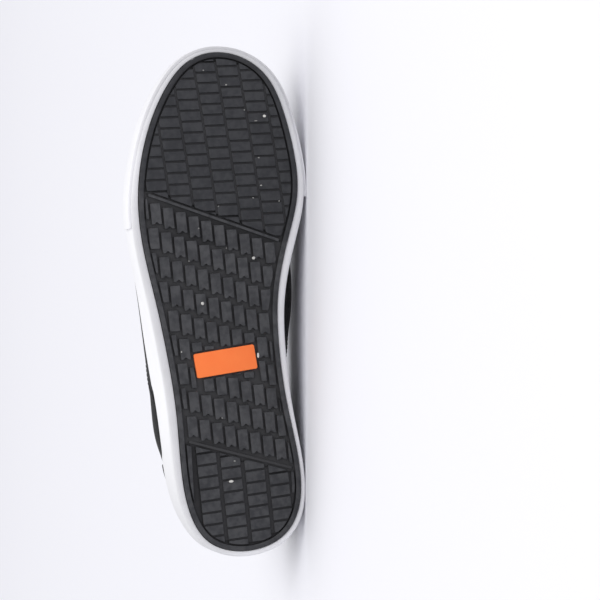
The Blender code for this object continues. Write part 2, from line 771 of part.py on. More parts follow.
# Collar binding: a rolled edge that stands on the top-line of the upper and the gores
def build_binding():
    top_line = 2.0 * level
    normal, up_wall = upper_directions(loop, top_line)
    centre = upper_point(loop, top_line) - normal * UPPER_WALL / 2
    centre = centre + up_wall * (FIT_GAP + BINDING_HIGH / 2)
    sections = []
    for side in range(BINDING_SIDES):
        angle = (side + 0.5) * FULL_TURN / BINDING_SIDES
        wide = math.cos(angle) * BINDING_WIDE / 2 / math.cos(math.pi / BINDING_SIDES)
        high = math.sin(angle) * BINDING_HIGH / 2
        sections.append(centre + normal * wide + up_wall * high)
    builder = bmesh.new()
    band_solid(builder, np.stack(sections, axis=1), True)
    binding = add_object("collar_binding", builder, shoe_collection)
    set_material(binding, "black binding tape", (0.016, 0.016, 0.018), 0.8)
    return binding


# Insole: a foam sock on the outsole, inside the foot of the upper
def build_insole():
    inset = -(UPPER_WALL + INSOLE_CLEARANCE) * level
    low = SOLE_THICK + FIT_GAP
    builder = bmesh.new()
    bottom = ring_of_verts(builder, edge_ring(loop, inset, low))
    top = ring_of_verts(builder, edge_ring(loop, inset, low + INSOLE_THICK))
    bridge(builder, bottom, top, True)
    cross_fill(builder, bottom)
    cross_fill(builder, top)
    insole = add_object("insole", builder, shoe_collection)
    set_material(insole, "foam sock", (0.08, 0.08, 0.085), 0.9)
    return insole


def world_triangles(piece, graph):
    evaluated = piece.evaluated_get(graph)
    mesh = evaluated.to_mesh()
    mesh.calc_loop_triangles()
    points = np.array([vert.co[:] for vert in mesh.vertices])
    faces = np.array([triangle.vertices[:] for triangle in mesh.loop_triangles])
    evaluated.to_mesh_clear()
    return points, faces


def balance_point(pieces, graph):
    """All outer points of the shoe and its centre of mass, standing."""
    cloud = []
    weight = 0.0
    moment = np.zeros(3)
    for piece, density in pieces:
        points, faces = world_triangles(piece, graph)
        corners = points[faces]
        volumes = np.einsum("ij,ij->i", corners[:, 0], np.cross(corners[:, 1], corners[:, 2])) / 6
        weight += density * volumes.sum()
        moment += density * (volumes[:, None] * corners.sum(axis=1) / 4).sum(axis=0)
        cloud.append(points)
    return np.concatenate(cloud), moment / weight


def resting_matrix(points, balance):
    """The pose in which the shoe lies on its inner side with its balance point over what it stands on."""
    hull = bmesh.new()
    for point in points:
        hull.verts.new(point)
    bmesh.ops.convex_hull(hull, input=hull.verts)
    best = None
    for face in hull.faces:
        down = np.array(face.normal)
        corners = np.array([vert.co[:] for vert in face.verts])
        foot = balance + down * np.dot(corners[0] - balance, down)
        following = np.roll(corners, -1, axis=0)
        turns = np.cross(following - corners, foot - corners) @ down
        if (turns >= 0).all() and (best is None or down[1] > best[1]):
            best = down
    hull.free()
    up = Vector(-best)
    along = Vector((1.0, 0.0, 0.0))
    along = (along - up * along.dot(up)).normalized()
    across = up.cross(along)
    turn = np.array([along, across, up])
    laid = points @ turn.T
    low = laid.min(axis=0)
    high = laid.max(axis=0)
    origin = np.array([(low[0] + high[0]) / 2, (low[1] + high[1]) / 2, low[2]])
    matrix = Matrix.Identity(4)
    for k in range(3):
        for n in range(3):
            matrix[k][n] = turn[k][n]
        matrix[k][3] = -origin[k]
    return matrix


rubber_pieces = [build_outsole(), build_label(), build_foxing(), build_toe_strip()]
cloth_pieces = [
    build_upper(),
    build_gore("gore_lateral", False),
    build_gore("gore_medial", True),
    build_counter(),
    build_binding(),
]
foam_pieces = [build_insole()]
weighed = [(piece, RUBBER_DENSITY) for piece in rubber_pieces]
weighed += [(piece, CLOTH_DENSITY) for piece in cloth_pieces]
weighed += [(piece, FOAM_DENSITY) for piece in foam_pieces]
bpy.context.view_layer.update()
depsgraph = bpy.context.evaluated_depsgraph_get()
shoe_points, shoe_balance = balance_point(weighed, depsgraph)
shoe_rest.matrix_world = resting_matrix(shoe_points, shoe_balance)
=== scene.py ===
"""Looks of a right-foot slip-on sneaker that lies on its inner side, dressed over its solids.

Pieces are shaped in millimetres with the shoe standing: x from the heel end of the outsole to its toe end,
y towards the inner side of the foot, z up from the tread. Each finished mesh is then laid where its solid
lies.
"""

import json
import math
from collections import namedtuple
from functools import partial

import bmesh
import bpy
import numpy as np
from mathutils import Matrix, Vector


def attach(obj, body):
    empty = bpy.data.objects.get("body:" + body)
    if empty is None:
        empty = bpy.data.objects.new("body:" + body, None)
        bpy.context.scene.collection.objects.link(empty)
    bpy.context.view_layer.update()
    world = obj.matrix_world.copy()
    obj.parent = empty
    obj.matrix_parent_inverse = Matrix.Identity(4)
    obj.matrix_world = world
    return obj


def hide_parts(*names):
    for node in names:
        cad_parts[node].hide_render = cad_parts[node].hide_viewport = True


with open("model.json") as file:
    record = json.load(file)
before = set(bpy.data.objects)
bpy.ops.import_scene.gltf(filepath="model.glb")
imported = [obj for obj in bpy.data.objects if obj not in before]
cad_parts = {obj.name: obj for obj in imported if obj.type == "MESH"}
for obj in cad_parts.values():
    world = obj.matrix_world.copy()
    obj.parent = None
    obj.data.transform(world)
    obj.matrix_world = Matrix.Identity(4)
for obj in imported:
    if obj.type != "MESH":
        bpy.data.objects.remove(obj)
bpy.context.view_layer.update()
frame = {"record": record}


def placed(name, data):
    """A new object in the scene, made of a mesh, a lamp or a camera."""
    made = bpy.data.objects.new(name, data)
    bpy.context.scene.collection.objects.link(made)
    return made


# Resting place and camera. The shoe lies on its inner side, so the camera sees the whole tread from a
# little above the floor, rolled to bring the toe to the top. Two flat spots of the tread, whose places are
# known on the standing shoe and as it lies, fix how the standing shoe was turned and set down.
MM = 0.001
HEEL_SPOT = Vector((31.78, -2.65, 0.0))
FOREFOOT_SPOT = Vector((176.0, -28.6, 0.0))
AIM_SPOT = Vector((141.8, 39.6, 0.0))
CAMERA_DISTANCE = 1400.0
CAMERA_SWING = math.radians(11.4)
CAMERA_ROLL = math.radians(3.05)
PICTURE_WIDTH = 345.6
SENSOR_WIDTH = 36.0
FAR_CLIP = 100.0

spots = {mount["name"]: mount for mount in frame["record"]["mounts"]}
heel_place = Vector(spots["sole_heel"]["pos_m"])
up_of_shoe = -Vector(spots["sole_heel"]["axis"]).normalized()
walked = Vector(spots["sole_forefoot"]["pos_m"]) - heel_place
stride = FOREFOOT_SPOT - HEEL_SPOT
toe_of_shoe = (walked * stride.x - up_of_shoe.cross(walked) * stride.y).normalized()
turned = Matrix((toe_of_shoe, up_of_shoe.cross(toe_of_shoe), up_of_shoe)).transposed().to_4x4()
LAID = Matrix.Translation(heel_place) @ turned @ Matrix.Scale(MM, 4) @ Matrix.Translation(-HEEL_SPOT)

sight = Vector((0.0, math.sin(CAMERA_SWING), math.cos(CAMERA_SWING)))
toe_up = Vector((1.0, 0.0, 0.0))
picture_up = toe_up * math.cos(CAMERA_ROLL) + sight.cross(toe_up) * math.sin(CAMERA_ROLL)
picture_axes = Matrix((sight.cross(picture_up), picture_up, -sight)).transposed().to_4x4()
camera_data = bpy.data.cameras.new("camera")
camera_data.sensor_width = SENSOR_WIDTH
camera_data.lens = SENSOR_WIDTH * CAMERA_DISTANCE / PICTURE_WIDTH
camera_data.clip_end = FAR_CLIP
camera = placed("camera", camera_data)
camera.matrix_world = Matrix.Translation(LAID @ (AIM_SPOT - sight * CAMERA_DISTANCE)) @ turned @ picture_axes
bpy.context.scene.camera = camera

# Outsole. One dark rubber sheet pressed with its tread: a plain rim with a groove inside it, staggered
# bricks under the ball and the heel, notched bars under the waist, and a divider groove with a rib where
# they change. The upper is glued down on its plain top face.
SOLE_LENGTH = 287.0
SOLE_THICK = 10.0
TREAD_DEPTH = 2.0
RIM_WIDTH = 2.8
RIM_GROOVE = 0.9
TOE_SPRING = 11.0
SPRING_START = 0.66
ARCH_RISE = 1.2
ARCH_FROM = 0.24
ARCH_TO = 0.60
FULL_TURN = 2 * math.pi
LOOP = 432

Station = namedtuple("Station", "along outer inner")
SOLE_STATIONS = (
    Station(0.00, 0.0, 0.0),
    Station(0.02, 19.3, 20.7),
    Station(0.06, 28.0, 30.5),
    Station(0.12, 32.7, 34.4),
    Station(0.20, 34.4, 32.9),
    Station(0.30, 35.5, 28.4),
    Station(0.40, 38.6, 26.2),
    Station(0.50, 43.2, 26.8),
    Station(0.60, 48.6, 32.9),
    Station(0.70, 50.7, 41.0),
    Station(0.80, 46.6, 40.6),
    Station(0.88, 38.5, 36.3),
    Station(0.94, 28.6, 29.9),
    Station(0.98, 17.7, 19.1),
    Station(1.00, 0.0, 0.0),
)


def smooth_curve(knots, values, flat_ends):
    """Cubic spline through a table column, with zero slope at heel and toe where flat_ends is set."""
    knots = np.asarray(knots, float)
    values = np.asarray(values, float)
    step = np.diff(knots)
    rise = np.diff(values) / step
    count = len(knots)
    system = np.zeros((count, count))
    right = np.zeros(count)
    for k in range(1, count - 1):
        system[k, k - 1 : k + 2] = step[k - 1], 2 * (step[k - 1] + step[k]), step[k]
        right[k] = 6 * (rise[k] - rise[k - 1])
    if flat_ends:
        system[0, :2] = 2 * step[0], step[0]
        system[-1, -2:] = step[-1], 2 * step[-1]
        right[0] = 6 * rise[0]
        right[-1] = -6 * rise[-1]
    else:
        system[0, 0] = 1
        system[-1, -1] = 1
    bend = np.linalg.solve(system, right)

    def at(place):
        place = np.asarray(place, float)
        k = np.clip(np.searchsorted(knots, place) - 1, 0, count - 2)
        ahead = knots[k + 1] - place
        behind = place - knots[k]
        curved = (bend[k] * ahead**3 + bend[k + 1] * behind**3) / (6 * step[k])
        start = (values[k] / step[k] - bend[k] * step[k] / 6) * ahead
        end = (values[k + 1] / step[k] - bend[k + 1] * step[k] / 6) * behind
        return curved + start + end

    return at


def heel_to_toe_angle(along):
    """Loop angle, 0 at the heel and pi at the toe, of a share of the sole length."""
    return np.arccos(1 - 2 * np.asarray(along, float))


def columns_of(table, odd_columns):
    """One smooth curve over the loop angle for each number column of a table."""
    knots = heel_to_toe_angle([row.along for row in table])
    curves = {}
    for name in table[0]._fields:
        if name not in ("along", "place"):
            values = [getattr(row, name) for row in table]
            curves[name] = smooth_curve(knots, values, name not in odd_columns)
    return curves


SOLE = columns_of(SOLE_STATIONS, ("outer", "inner"))


def folded(angle):
    """A loop angle brought to 0..pi, and the side it lies on: -1 outer, +1 inner."""
    angle = np.mod(angle, FULL_TURN)
    return np.minimum(angle, FULL_TURN - angle), np.where(angle <= math.pi, -1.0, 1.0)


def by_side(side, outer, inner):
    return np.where(side < 0, outer, inner)


def smooth_step(value, low, high):
    """0 below low, 1 above high and a smooth rise between."""
    share = np.clip((np.asarray(value, float) - low) / (high - low), 0, 1)
    return share * share * (3 - 2 * share)


def ground_rise(x):
    """Height of the tread plane: toe spring in front of the ball and a slight arch at the waist."""
    along = np.asarray(x, float) / SOLE_LENGTH
    spring = np.clip((along - SPRING_START) / (1 - SPRING_START), 0, 1)
    arch = np.clip((along - ARCH_FROM) / (ARCH_TO - ARCH_FROM), 0, 1)
    return TOE_SPRING * spring**2 + ARCH_RISE * np.sin(math.pi * arch) ** 2


def edge_point(angle):
    fold, side = folded(angle)
    x = SOLE_LENGTH / 2 * (1 - np.cos(fold))
    y = by_side(side, -SOLE["outer"](fold), SOLE["inner"](fold))
    return np.stack([x, y], axis=-1)


def edge_normal(angle):
    """Outward unit normal of the sole outline, in plan."""
    small = 1e-3
    along = edge_point(angle + small) - edge_point(angle - small)
    across = np.stack([along[..., 1], -along[..., 0]], axis=-1)
    return across / np.linalg.norm(across, axis=-1, keepdims=True)


def edge_ring(angle, out, height):
    """Points at a distance out from the outsole's side and a height above the tread plane."""
    flat = edge_point(angle) + edge_normal(angle) * (np.zeros_like(angle) + out)[..., None]
    ground = ground_rise(edge_point(angle)[..., 0])
    return np.concatenate([flat, (ground + height)[..., None]], axis=-1)


loop = np.arange(LOOP) * FULL_TURN / LOOP


class Socket:
    """One output of a node, so that sums on it can be written as plain expressions."""

    def __init__(self, tree, node, out):
        self.tree = tree
        self.node = node
        self.socket = node.outputs[out]

    def other(self, out):
        return Socket(self.tree, self.node, out)

    def worked(self, operation, first, second):
        return add_node(self.tree, "ShaderNodeMath", {"operation": operation}, {0: first, 1: second})

    def __add__(self, other):
        return self.worked("ADD", self, other)

    def __radd__(self, other):
        return self.worked("ADD", other, self)

    def __sub__(self, other):
        return self.worked("SUBTRACT", self, other)

    def __rsub__(self, other):
        return self.worked("SUBTRACT", other, self)

    def __mul__(self, other):
        return self.worked("MULTIPLY", self, other)

    def __rmul__(self, other):
        return self.worked("MULTIPLY", other, self)

    def __truediv__(self, other):
        return self.worked("DIVIDE", self, other)

    def __rtruediv__(self, other):
        return self.worked("DIVIDE", other, self)

    def __pow__(self, other):
        return self.worked("POWER", self, other)

    def sine(self):
        return self.worked("SINE", self, 0.0)

    def size(self):
        return self.worked("ABSOLUTE", self, 0.0)

    def above(self, limit):
        return self.worked("GREATER_THAN", self, limit)


def add_node(tree, kind, settings, sockets, out=0):
    """A new node: settings are made first, then sockets are set or linked. Gives one of its outputs."""
    node = tree.nodes.new(kind)
    for name, value in settings.items():
        setattr(node, name, value)
    for name, value in sockets.items():
        for item in value if isinstance(value, list) else [value]:
            if isinstance(item, Socket):
                tree.links.new(item.socket, node.inputs[name])
            else:
                node.inputs[name].default_value = item
    return Socket(tree, node, out)


class Finish:
    """A material under the brush: its node tree and the shader that its sums feed."""

    def __init__(self, name, constants):
        self.material = bpy.data.materials.new(name)
        self.material.use_nodes = True
        self.tree = self.material.node_tree
        self.shader = self.tree.nodes["Principled BSDF"]
        for socket, value in constants.items():
            self.shader.inputs[socket].default_value = value

    def node(self, kind, settings, sockets, out=0):
        return add_node(self.tree, kind, settings, sockets, out)

    def attribute(self, name, out):
        return self.node("ShaderNodeAttribute", {"attribute_name": name}, {}, out)

    def noise(self, size, detail=2.0, stretch=(1.0, 1.0, 1.0)):
        """Soft cloudy values from 0 to 1, with spots of a size in millimetres, on the standing shoe."""
        place = self.attribute("standing", "Vector")
        place = self.node("ShaderNodeVectorMath", {"operation": "MULTIPLY"}, {0: place, 1: stretch})
        sockets = {"Vector": place, "Scale": 1 / (size * MM), "Detail": detail}
        return self.node("ShaderNodeTexNoise", {}, sockets, "Fac")

    def rise(self, value, low, high):
        """Smooth rise of a value from 0 at low to 1 at high."""
        sockets = {"Value": value, "From Min": low, "From Max": high}
        return self.node("ShaderNodeMapRange", {"interpolation_type": "SMOOTHSTEP"}, sockets)

    def blend(self, share, low, high):
        return self.node("ShaderNodeMix", {"data_type": "RGBA"}, {0: share, 6: low, 7: high}, 2)

    def feed(self, socket, value):
        self.tree.links.new(value.socket, self.shader.inputs[socket])

    def relief(self, height, depth):
        """Bump of a depth in millimetres from a height of 0 to 1."""
        sockets = {"Height": height, "Distance": depth * MM, "Strength": 1.0}
        self.feed("Normal", self.node("ShaderNodeBump", {}, sockets, "Normal"))


def mesh_of(name, points, faces):
    mesh = bpy.data.meshes.new(name)
    mesh.from_pydata(np.asarray(points, float).reshape(-1, 3).tolist(), [], faces)
    return mesh


def facing_out(mesh):
    """Turn the faces of closed shells outwards."""
    builder = bmesh.new()
    builder.from_mesh(mesh)
    bmesh.ops.recalc_face_normals(builder, faces=builder.faces)
    builder.to_mesh(mesh)
    builder.free()
    return mesh


def band_faces(rows, columns, closed_path, first=0):
    """Faces between neighbouring closed sections of a swept band, capped where the path is open."""
    faces = []
    for i in range(rows if closed_path else rows - 1):
        here = first + i * columns
        ahead = first + (i + 1) % rows * columns
        for j in range(columns):
            n = (j + 1) % columns
            faces.append((here + j, here + n, ahead + n, ahead + j))
    if not closed_path:
        faces.append(tuple(range(first, first + columns)))
        faces.append(tuple(range(first + (rows - 1) * columns, first + rows * columns)))
    return faces


def edge_stack(profile):
    """Points and faces of a plate, from pairs of distance out from the sole's edge and height."""
    faces = []
    for k in range(len(profile) - 1):
        for i in range(LOOP):
            n = (i + 1) % LOOP
            faces.append((k * LOOP + i, k * LOOP + n, (k + 1) * LOOP + n, (k + 1) * LOOP + i))
    for first in ((len(profile) - 1) * LOOP, 0):
        for k in range(LOOP // 2):
            corners = (k, k + 1, -(k + 1) % LOOP, -k % LOOP)
            faces.append(tuple(first + corner for corner in dict.fromkeys(corners)))
    return np.concatenate([edge_ring(loop, out, height) for out, height in profile]), faces


def smoothed(mesh, sharp_angle):
    """Shade a mesh smooth, apart from edges sharper than an angle in degrees."""
    mesh.shade_smooth()
    mesh.set_sharp_from_angle(angle=math.radians(sharp_angle))
    return mesh


def grown(source, tree, inputs, sharp_angle):
    """A plain mesh of what a node tree grows from a mesh."""
    carrier = placed(source.name, source)
    modifier = carrier.modifiers.new("grow", "NODES")
    modifier.node_group = tree
    for item in tree.interface.items_tree:
        if item.in_out == "INPUT" and item.name in inputs:
            modifier[item.identifier] = inputs[item.name]
    graph = bpy.context.evaluated_depsgraph_get()
    plain = bpy.data.meshes.new_from_object(carrier.evaluated_get(graph))
    carrier.modifiers.remove(modifier)
    bpy.data.objects.remove(carrier)
    return smoothed(plain, sharp_angle)


def new_tree(name, *labels):
    """An empty geometry tree with its sized inputs; gives the tree and its input sockets by name."""
    tree = bpy.data.node_groups.new(name, "GeometryNodeTree")
    tree.interface.new_socket("Geometry", in_out="INPUT", socket_type="NodeSocketGeometry")
    tree.interface.new_socket("Geometry", in_out="OUTPUT", socket_type="NodeSocketGeometry")
    for label in labels:
        tree.interface.new_socket(label, in_out="INPUT", socket_type="NodeSocketFloat")
    entry = tree.nodes.new("NodeGroupInput")
    return tree, {label: Socket(tree, entry, label) for label in ("Geometry", *labels)}


def named_value(tree, name, kind):
    """A value that was given by name to the mesh that a tree grows from."""
    sockets = {"Name": name}
    return add_node(tree, "GeometryNodeInputNamedAttribute", {"data_type": kind}, sockets, "Attribute")


def end_tree(tree, geometry, finish):
    """End a geometry tree in real faces with their material."""
    real = add_node(tree, "GeometryNodeRealizeInstances", {}, {"Geometry": geometry})
    coloured = add_node(tree, "GeometryNodeSetMaterial", {}, {"Geometry": real, "Material": finish.material})
    end = tree.nodes.new("NodeGroupOutput")
    tree.links.new(coloured.socket, end.inputs["Geometry"])


def points_of(mesh):
    flat = np.empty(len(mesh.vertices) * 3, np.float32)
    mesh.vertices.foreach_get("co", flat)
    return flat.reshape(-1, 3).astype(float)


def give_values(mesh, name, values, domain="POINT"):
    """Give each point, face or corner of a mesh a number or a vector under a name."""
    values = np.asarray(values, np.float32)
    kind, field = ("FLOAT", "value") if values.ndim == 1 else ("FLOAT_VECTOR", "vector")
    attribute = mesh.attributes.new(name, kind, domain)
    attribute.data.foreach_set(field, values.ravel())


def lay_piece(name, mesh, finish, slot, *nodes):
    """Lay a mesh in standing millimetres down as a finished piece, in place of its CAD nodes."""
    give_values(mesh, "standing", points_of(mesh) * MM)
    mesh.transform(LAID)
    if not mesh.materials:
        mesh.materials.append(finish.material)
    piece = placed(name, mesh)
    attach(piece, "root")
    if nodes:
        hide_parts(*nodes)
    return piece


LABEL_X = 109.0
LABEL_Y = -5.4
LABEL_WIDE = 35.6
LABEL_LONG = 14.1
LABEL_TURN = 6.2
LABEL_MARGIN = 1.0
DIVIDER_HALF_GROOVE = 0.5
DIVIDER_RIB = 1.5
DIVIDER_CLEAR = 1.2
LUG_ROOT = 0.3
LUG_CORNER = 0.45
LUG_DRAFT = 0.12
LUG_BEVEL = 0.22
SMALLEST_LUG = 2.2
SHORTEST_EDGE = 0.15
NEAR_RIM = 8.0
RIM_STEP = 3
RIB_STEPS = 9
WHOLE_SHARE = 0.999
STRAIGHT_COSINE = 0.92
CORNER_SHARE = 0.4

Divider = namedtuple("Divider", "outer_x outer_y inner_x inner_y rib_side")
FOREFOOT_DIVIDER = Divider(207.7, -45.4, 177.6, 30.4, -1)
HEEL_DIVIDER = Divider(63.4, -30.2, 44.2, 30.2, 1)

BRICK_SIZES = "x y pitch_y pitch_x width gap drift slope stagger closing"
Brick = namedtuple("Brick", BRICK_SIZES + " first_column last_column rows web_drop bed_drop")
FOREFOOT_BRICKS = Brick(238.25, 9.5, 13.0, 6.4, 12.0, 1.0, -0.09, 0.0, -0.455, 0.004, -5, 3, 12, 0.6, 0.9)
HEEL_BRICKS = Brick(37.95, -5.2, 13.6, 6.85, 11.6, 1.0, -0.05, 0.08, -0.35, 0.0, -1, 2, 6, 0.9, 1.0)
HEEL_RIB_DROP = 0.9
HEEL_SHADE = 0.36
STRIP_STEP = 2.0
NARROWEST_STRIP = 0.6

BAR_ROWS = 9
BAR_ROW_PITCH = 14.35
BAR_ROW_X = 172.95
BAR_SLOPE_FRONT = -0.39
BAR_SLOPE_STEP = 0.009
BAR_PITCH = 7.22
BAR_WIDTH = 5.9
BAR_LENGTH = 12.3
BAR_FIRST_Y = -12.4
BAR_ROW_SHIFT = -1.79
BAR_DRIFT = -0.05
BAR_COLUMNS = 9
BAR_NOTCH_DEEP = 1.5
BAR_NOTCH_HALF = 1.6

Rail = namedtuple("Rail", "x_from x_to y_from y_to")
HEEL_RAILS = (Rail(14.0, 66.0, -36.0, -28.0), Rail(31.0, 52.0, 29.0, 36.0))


def line_of(divider):
    """A point on a divider and its unit normal, pointing to the toe."""
    start = np.array([divider.outer_x, divider.outer_y])
    along = np.array([divider.inner_x, divider.inner_y]) - start
    normal = np.array([along[1], -along[0]]) / np.linalg.norm(along)
    return start, normal


def clipped(polygon, point, normal):
    """The part of a polygon on the back of a line."""
    kept = []
    for k, here in enumerate(polygon):
        before = polygon[k - 1]
        depth_here = float(np.dot(here - point, normal))
        depth_before = float(np.dot(before - point, normal))
        if depth_here * depth_before < 0:
            share = depth_before / (depth_before - depth_here)
            kept.append(before + (here - before) * share)
        if depth_here <= 0:
            kept.append(here)
    return kept


def signed_area(polygon):
    corners = np.array(polygon)
    following = np.roll(corners, -1, axis=0)
    return np.sum(corners[:, 0] * following[:, 1] - corners[:, 1] * following[:, 0]) / 2


RIM_ANGLES = np.arange(0, LOOP, RIM_STEP) * FULL_TURN / LOOP
RIM_NORMALS = edge_normal(RIM_ANGLES)
RIM_POINTS = edge_point(RIM_ANGLES) - RIM_NORMALS * (RIM_WIDTH + RIM_GROOVE)


def rim_y(x, side):
    """Where the groove inside the rim lies across the shoe, on the outer side, -1, or the inner, 1."""
    here = RIM_POINTS[folded(RIM_ANGLES)[1] == side]
    here = here[np.argsort(here[:, 0])]
    return np.interp(x, here[:, 0], here[:, 1], 0.0, 0.0)


def inside_rim(polygon):
    """Cut a lug back to the groove inside the rim."""
    centre = np.mean(polygon, axis=0)
    radius = max(np.linalg.norm(corner - centre) for corner in polygon)
    distances = np.linalg.norm(RIM_POINTS - centre, axis=1)
    nearest = np.argmin(distances)
    if np.dot(centre - RIM_POINTS[nearest], RIM_NORMALS[nearest]) > radius:
        return []
    for point, normal, distance in zip(RIM_POINTS, RIM_NORMALS, distances):
        if len(polygon) > 2 and distance < radius + NEAR_RIM:
            polygon = clipped(polygon, point, normal)
    return polygon


label_turn = math.radians(LABEL_TURN)
LABEL_ACROSS = np.array([math.sin(label_turn), math.cos(label_turn)])
LABEL_FORWARD = np.array([math.cos(label_turn), -math.sin(label_turn)])
LABEL_CENTRE = np.array([LABEL_X, LABEL_Y])


def clear_of_label(polygon):
    """The largest part of a lug left outside the label and its margin."""
    half_wide = LABEL_WIDE / 2 + LABEL_MARGIN
    half_long = LABEL_LONG / 2 + LABEL_MARGIN
    inside = polygon
    parts = []
    sides = ((LABEL_ACROSS, half_wide), (LABEL_FORWARD, half_long))
    for direction, half in [(sign * way, half) for way, half in sides for sign in (1, -1)]:
        edge = LABEL_CENTRE + direction * half
        parts.append(clipped(polygon, edge, -direction))
        inside = clipped(inside, edge, direction) if len(inside) > 2 else inside
    if len(inside) < 3:
        return polygon
    parts = [part for part in parts if len(part) > 2]
    return max(parts, key=lambda part: abs(signed_area(part)), default=[])


def cut_to_zone(polygon, limits):
    for point, normal in limits:
        if len(polygon) > 2:
            polygon = clipped(polygon, point, normal)
    if len(polygon) > 2:
        polygon = inside_rim(polygon)
    if len(polygon) > 2:
        polygon = clear_of_label(polygon)
    return [
        corner
        for k, corner in enumerate(polygon)
        if np.linalg.norm(corner - polygon[k - 1]) > SHORTEST_EDGE
    ]


def brick_lugs(bricks, limits):
    """Columns of bricks, each stepped back on the last, cut by the rim and by the zone's limit lines."""
    lugs = []
    for column in range(bricks.first_column, bricks.last_column + 1):
        for row in range(-bricks.rows, bricks.rows + 1):
            lug = []
            for end, flank in ((-1, -1), (1, -1), (1, 1), (-1, 1)):
                step = row + bricks.stagger * column + end / 2
                x = bricks.x + bricks.pitch_x * step * (1 - bricks.closing * step) - end * bricks.gap / 2
                side = flank * bricks.width / 2
                y = bricks.y + column * bricks.pitch_y + bricks.drift * (x - bricks.x) + side
                lug.append(np.array([x + bricks.slope * side, y]))
            lugs.append(cut_to_zone(lug, limits))
    return lugs


def brick_strips(bricks, limits, shift, half, drop):
    """Low strips along the columns of bricks, at a share of the column pitch from their middles."""
    strips = []
    reach = bricks.rows * bricks.pitch_x
    point, normal = limits[0]
    for column in range(bricks.first_column, bricks.last_column + 1):
        middle = bricks.y + (column + shift) * bricks.pitch_y
        x = np.arange(bricks.x - reach, bricks.x + reach, STRIP_STEP)
        edges = []
        for side in (-half, half):
            y = np.clip(middle + side + bricks.drift * (x - bricks.x), rim_y(x, -1), rim_y(x, 1))
            edges.append(np.column_stack([x, y]))
        wide = edges[1][:, 1] - edges[0][:, 1] > NARROWEST_STRIP
        kept = wide & np.all([(edge - point) @ normal <= 0 for edge in edges], axis=0)
        if kept.sum() > 2:
            root = TREAD_DEPTH + LUG_ROOT
            section = ((0, root), (1, root), (1, drop), (0, drop))
            sides = [np.column_stack([edges[k], ground_rise(x) + deep])[kept] for k, deep in section]
            strips.append(np.stack(sides, axis=1))
    return strips


def bar_lugs(limits):
    """Long waist bars in slanting rows, each with a notch in its heel end."""
    lugs = []
    for row in range(-1, BAR_ROWS):
        slope = BAR_SLOPE_FRONT + BAR_SLOPE_STEP * row
        for column in range(-BAR_COLUMNS, BAR_COLUMNS):
            y = BAR_FIRST_Y + row * BAR_ROW_SHIFT + column * BAR_PITCH
            heel_x = BAR_ROW_X - row * BAR_ROW_PITCH + slope * y
            lean = BAR_DRIFT * BAR_LENGTH / 2
            low_y, high_y = y - lean, y + lean
            half = BAR_WIDTH / 2
            outline = [
                (heel_x, low_y - half),
                (heel_x, low_y - BAR_NOTCH_HALF),
                (heel_x + BAR_NOTCH_DEEP, low_y),
                (heel_x, low_y + BAR_NOTCH_HALF),
                (heel_x, low_y + half),
                (heel_x + BAR_LENGTH, high_y + half),
                (heel_x + BAR_LENGTH, high_y - half),
            ]
            notched = [np.array(corner) for corner in outline]
            plain = notched[:1] + notched[4:]
            cut = cut_to_zone(plain, limits)
            uncut = len(cut) > 2 and abs(signed_area(cut)) > WHOLE_SHARE * abs(signed_area(plain))
            lugs.append(notched if uncut else cut)
    return lugs


def rail_lugs(limits):
    lugs = []
    for rail in HEEL_RAILS:
        low, high = (rail.x_from, rail.y_from), (rail.x_to, rail.y_to)
        corners = (low, (high[0], low[1]), high, (low[0], high[1]))
        lugs.append(cut_to_zone([np.array(corner) for corner in corners], limits))
    return lugs


def divider_rib(divider):
    """Narrow rib beside a divider groove."""
    point, normal = line_of(divider)
    other = np.array([divider.inner_x, divider.inner_y])
    near = normal * divider.rib_side * DIVIDER_HALF_GROOVE
    far = normal * divider.rib_side * (DIVIDER_HALF_GROOVE + DIVIDER_RIB)
    steps = np.linspace(0, 1, RIB_STEPS)
    front = [point + near + (other - point) * step for step in steps]
    back = [point + far + (other - point) * step for step in steps[::-1]]
    return front + back


def rounded(polygon):
    """A lug outline with its sharp corners rounded off."""
    soft = []
    for k, here in enumerate(polygon):
        back = polygon[k - 1] - here
        ahead = polygon[(k + 1) % len(polygon)] - here
        back_length, ahead_length = np.linalg.norm(back), np.linalg.norm(ahead)
        if -np.dot(back, ahead) > STRAIGHT_COSINE * back_length * ahead_length:
            soft.append(here)
            continue
        reach = min(LUG_CORNER, CORNER_SHARE * back_length, CORNER_SHARE * ahead_length)
        start = here + back / back_length * reach
        end = here + ahead / ahead_length * reach
        soft += [start, (start + end) / 4 + here / 2, end]
    return soft


fore_point, fore_normal = line_of(FOREFOOT_DIVIDER)
heel_point, heel_normal = line_of(HEEL_DIVIDER)
beyond_rib = DIVIDER_HALF_GROOVE + DIVIDER_RIB + DIVIDER_CLEAR
fore_limits = ((fore_point + fore_normal * DIVIDER_HALF_GROOVE, -fore_normal),)
heel_limits = ((heel_point - heel_normal * DIVIDER_HALF_GROOVE, heel_normal),)
waist_limits = (
    (fore_point - fore_normal * beyond_rib, fore_normal),
    (heel_point + heel_normal * beyond_rib, -heel_normal),
)
full_lugs = brick_lugs(FOREFOOT_BRICKS, fore_limits) + brick_lugs(HEEL_BRICKS, heel_limits)
full_lugs += bar_lugs(waist_limits) + rail_lugs(heel_limits)
full_lugs = [lug for lug in full_lugs if len(lug) > 2 and abs(signed_area(lug)) > SMALLEST_LUG]
lugs_and_drops = [(lug, 0.0) for lug in full_lugs]
lugs_and_drops += [(divider_rib(FOREFOOT_DIVIDER), 0.0), (divider_rib(HEEL_DIVIDER), HEEL_RIB_DROP)]
low_strips = []
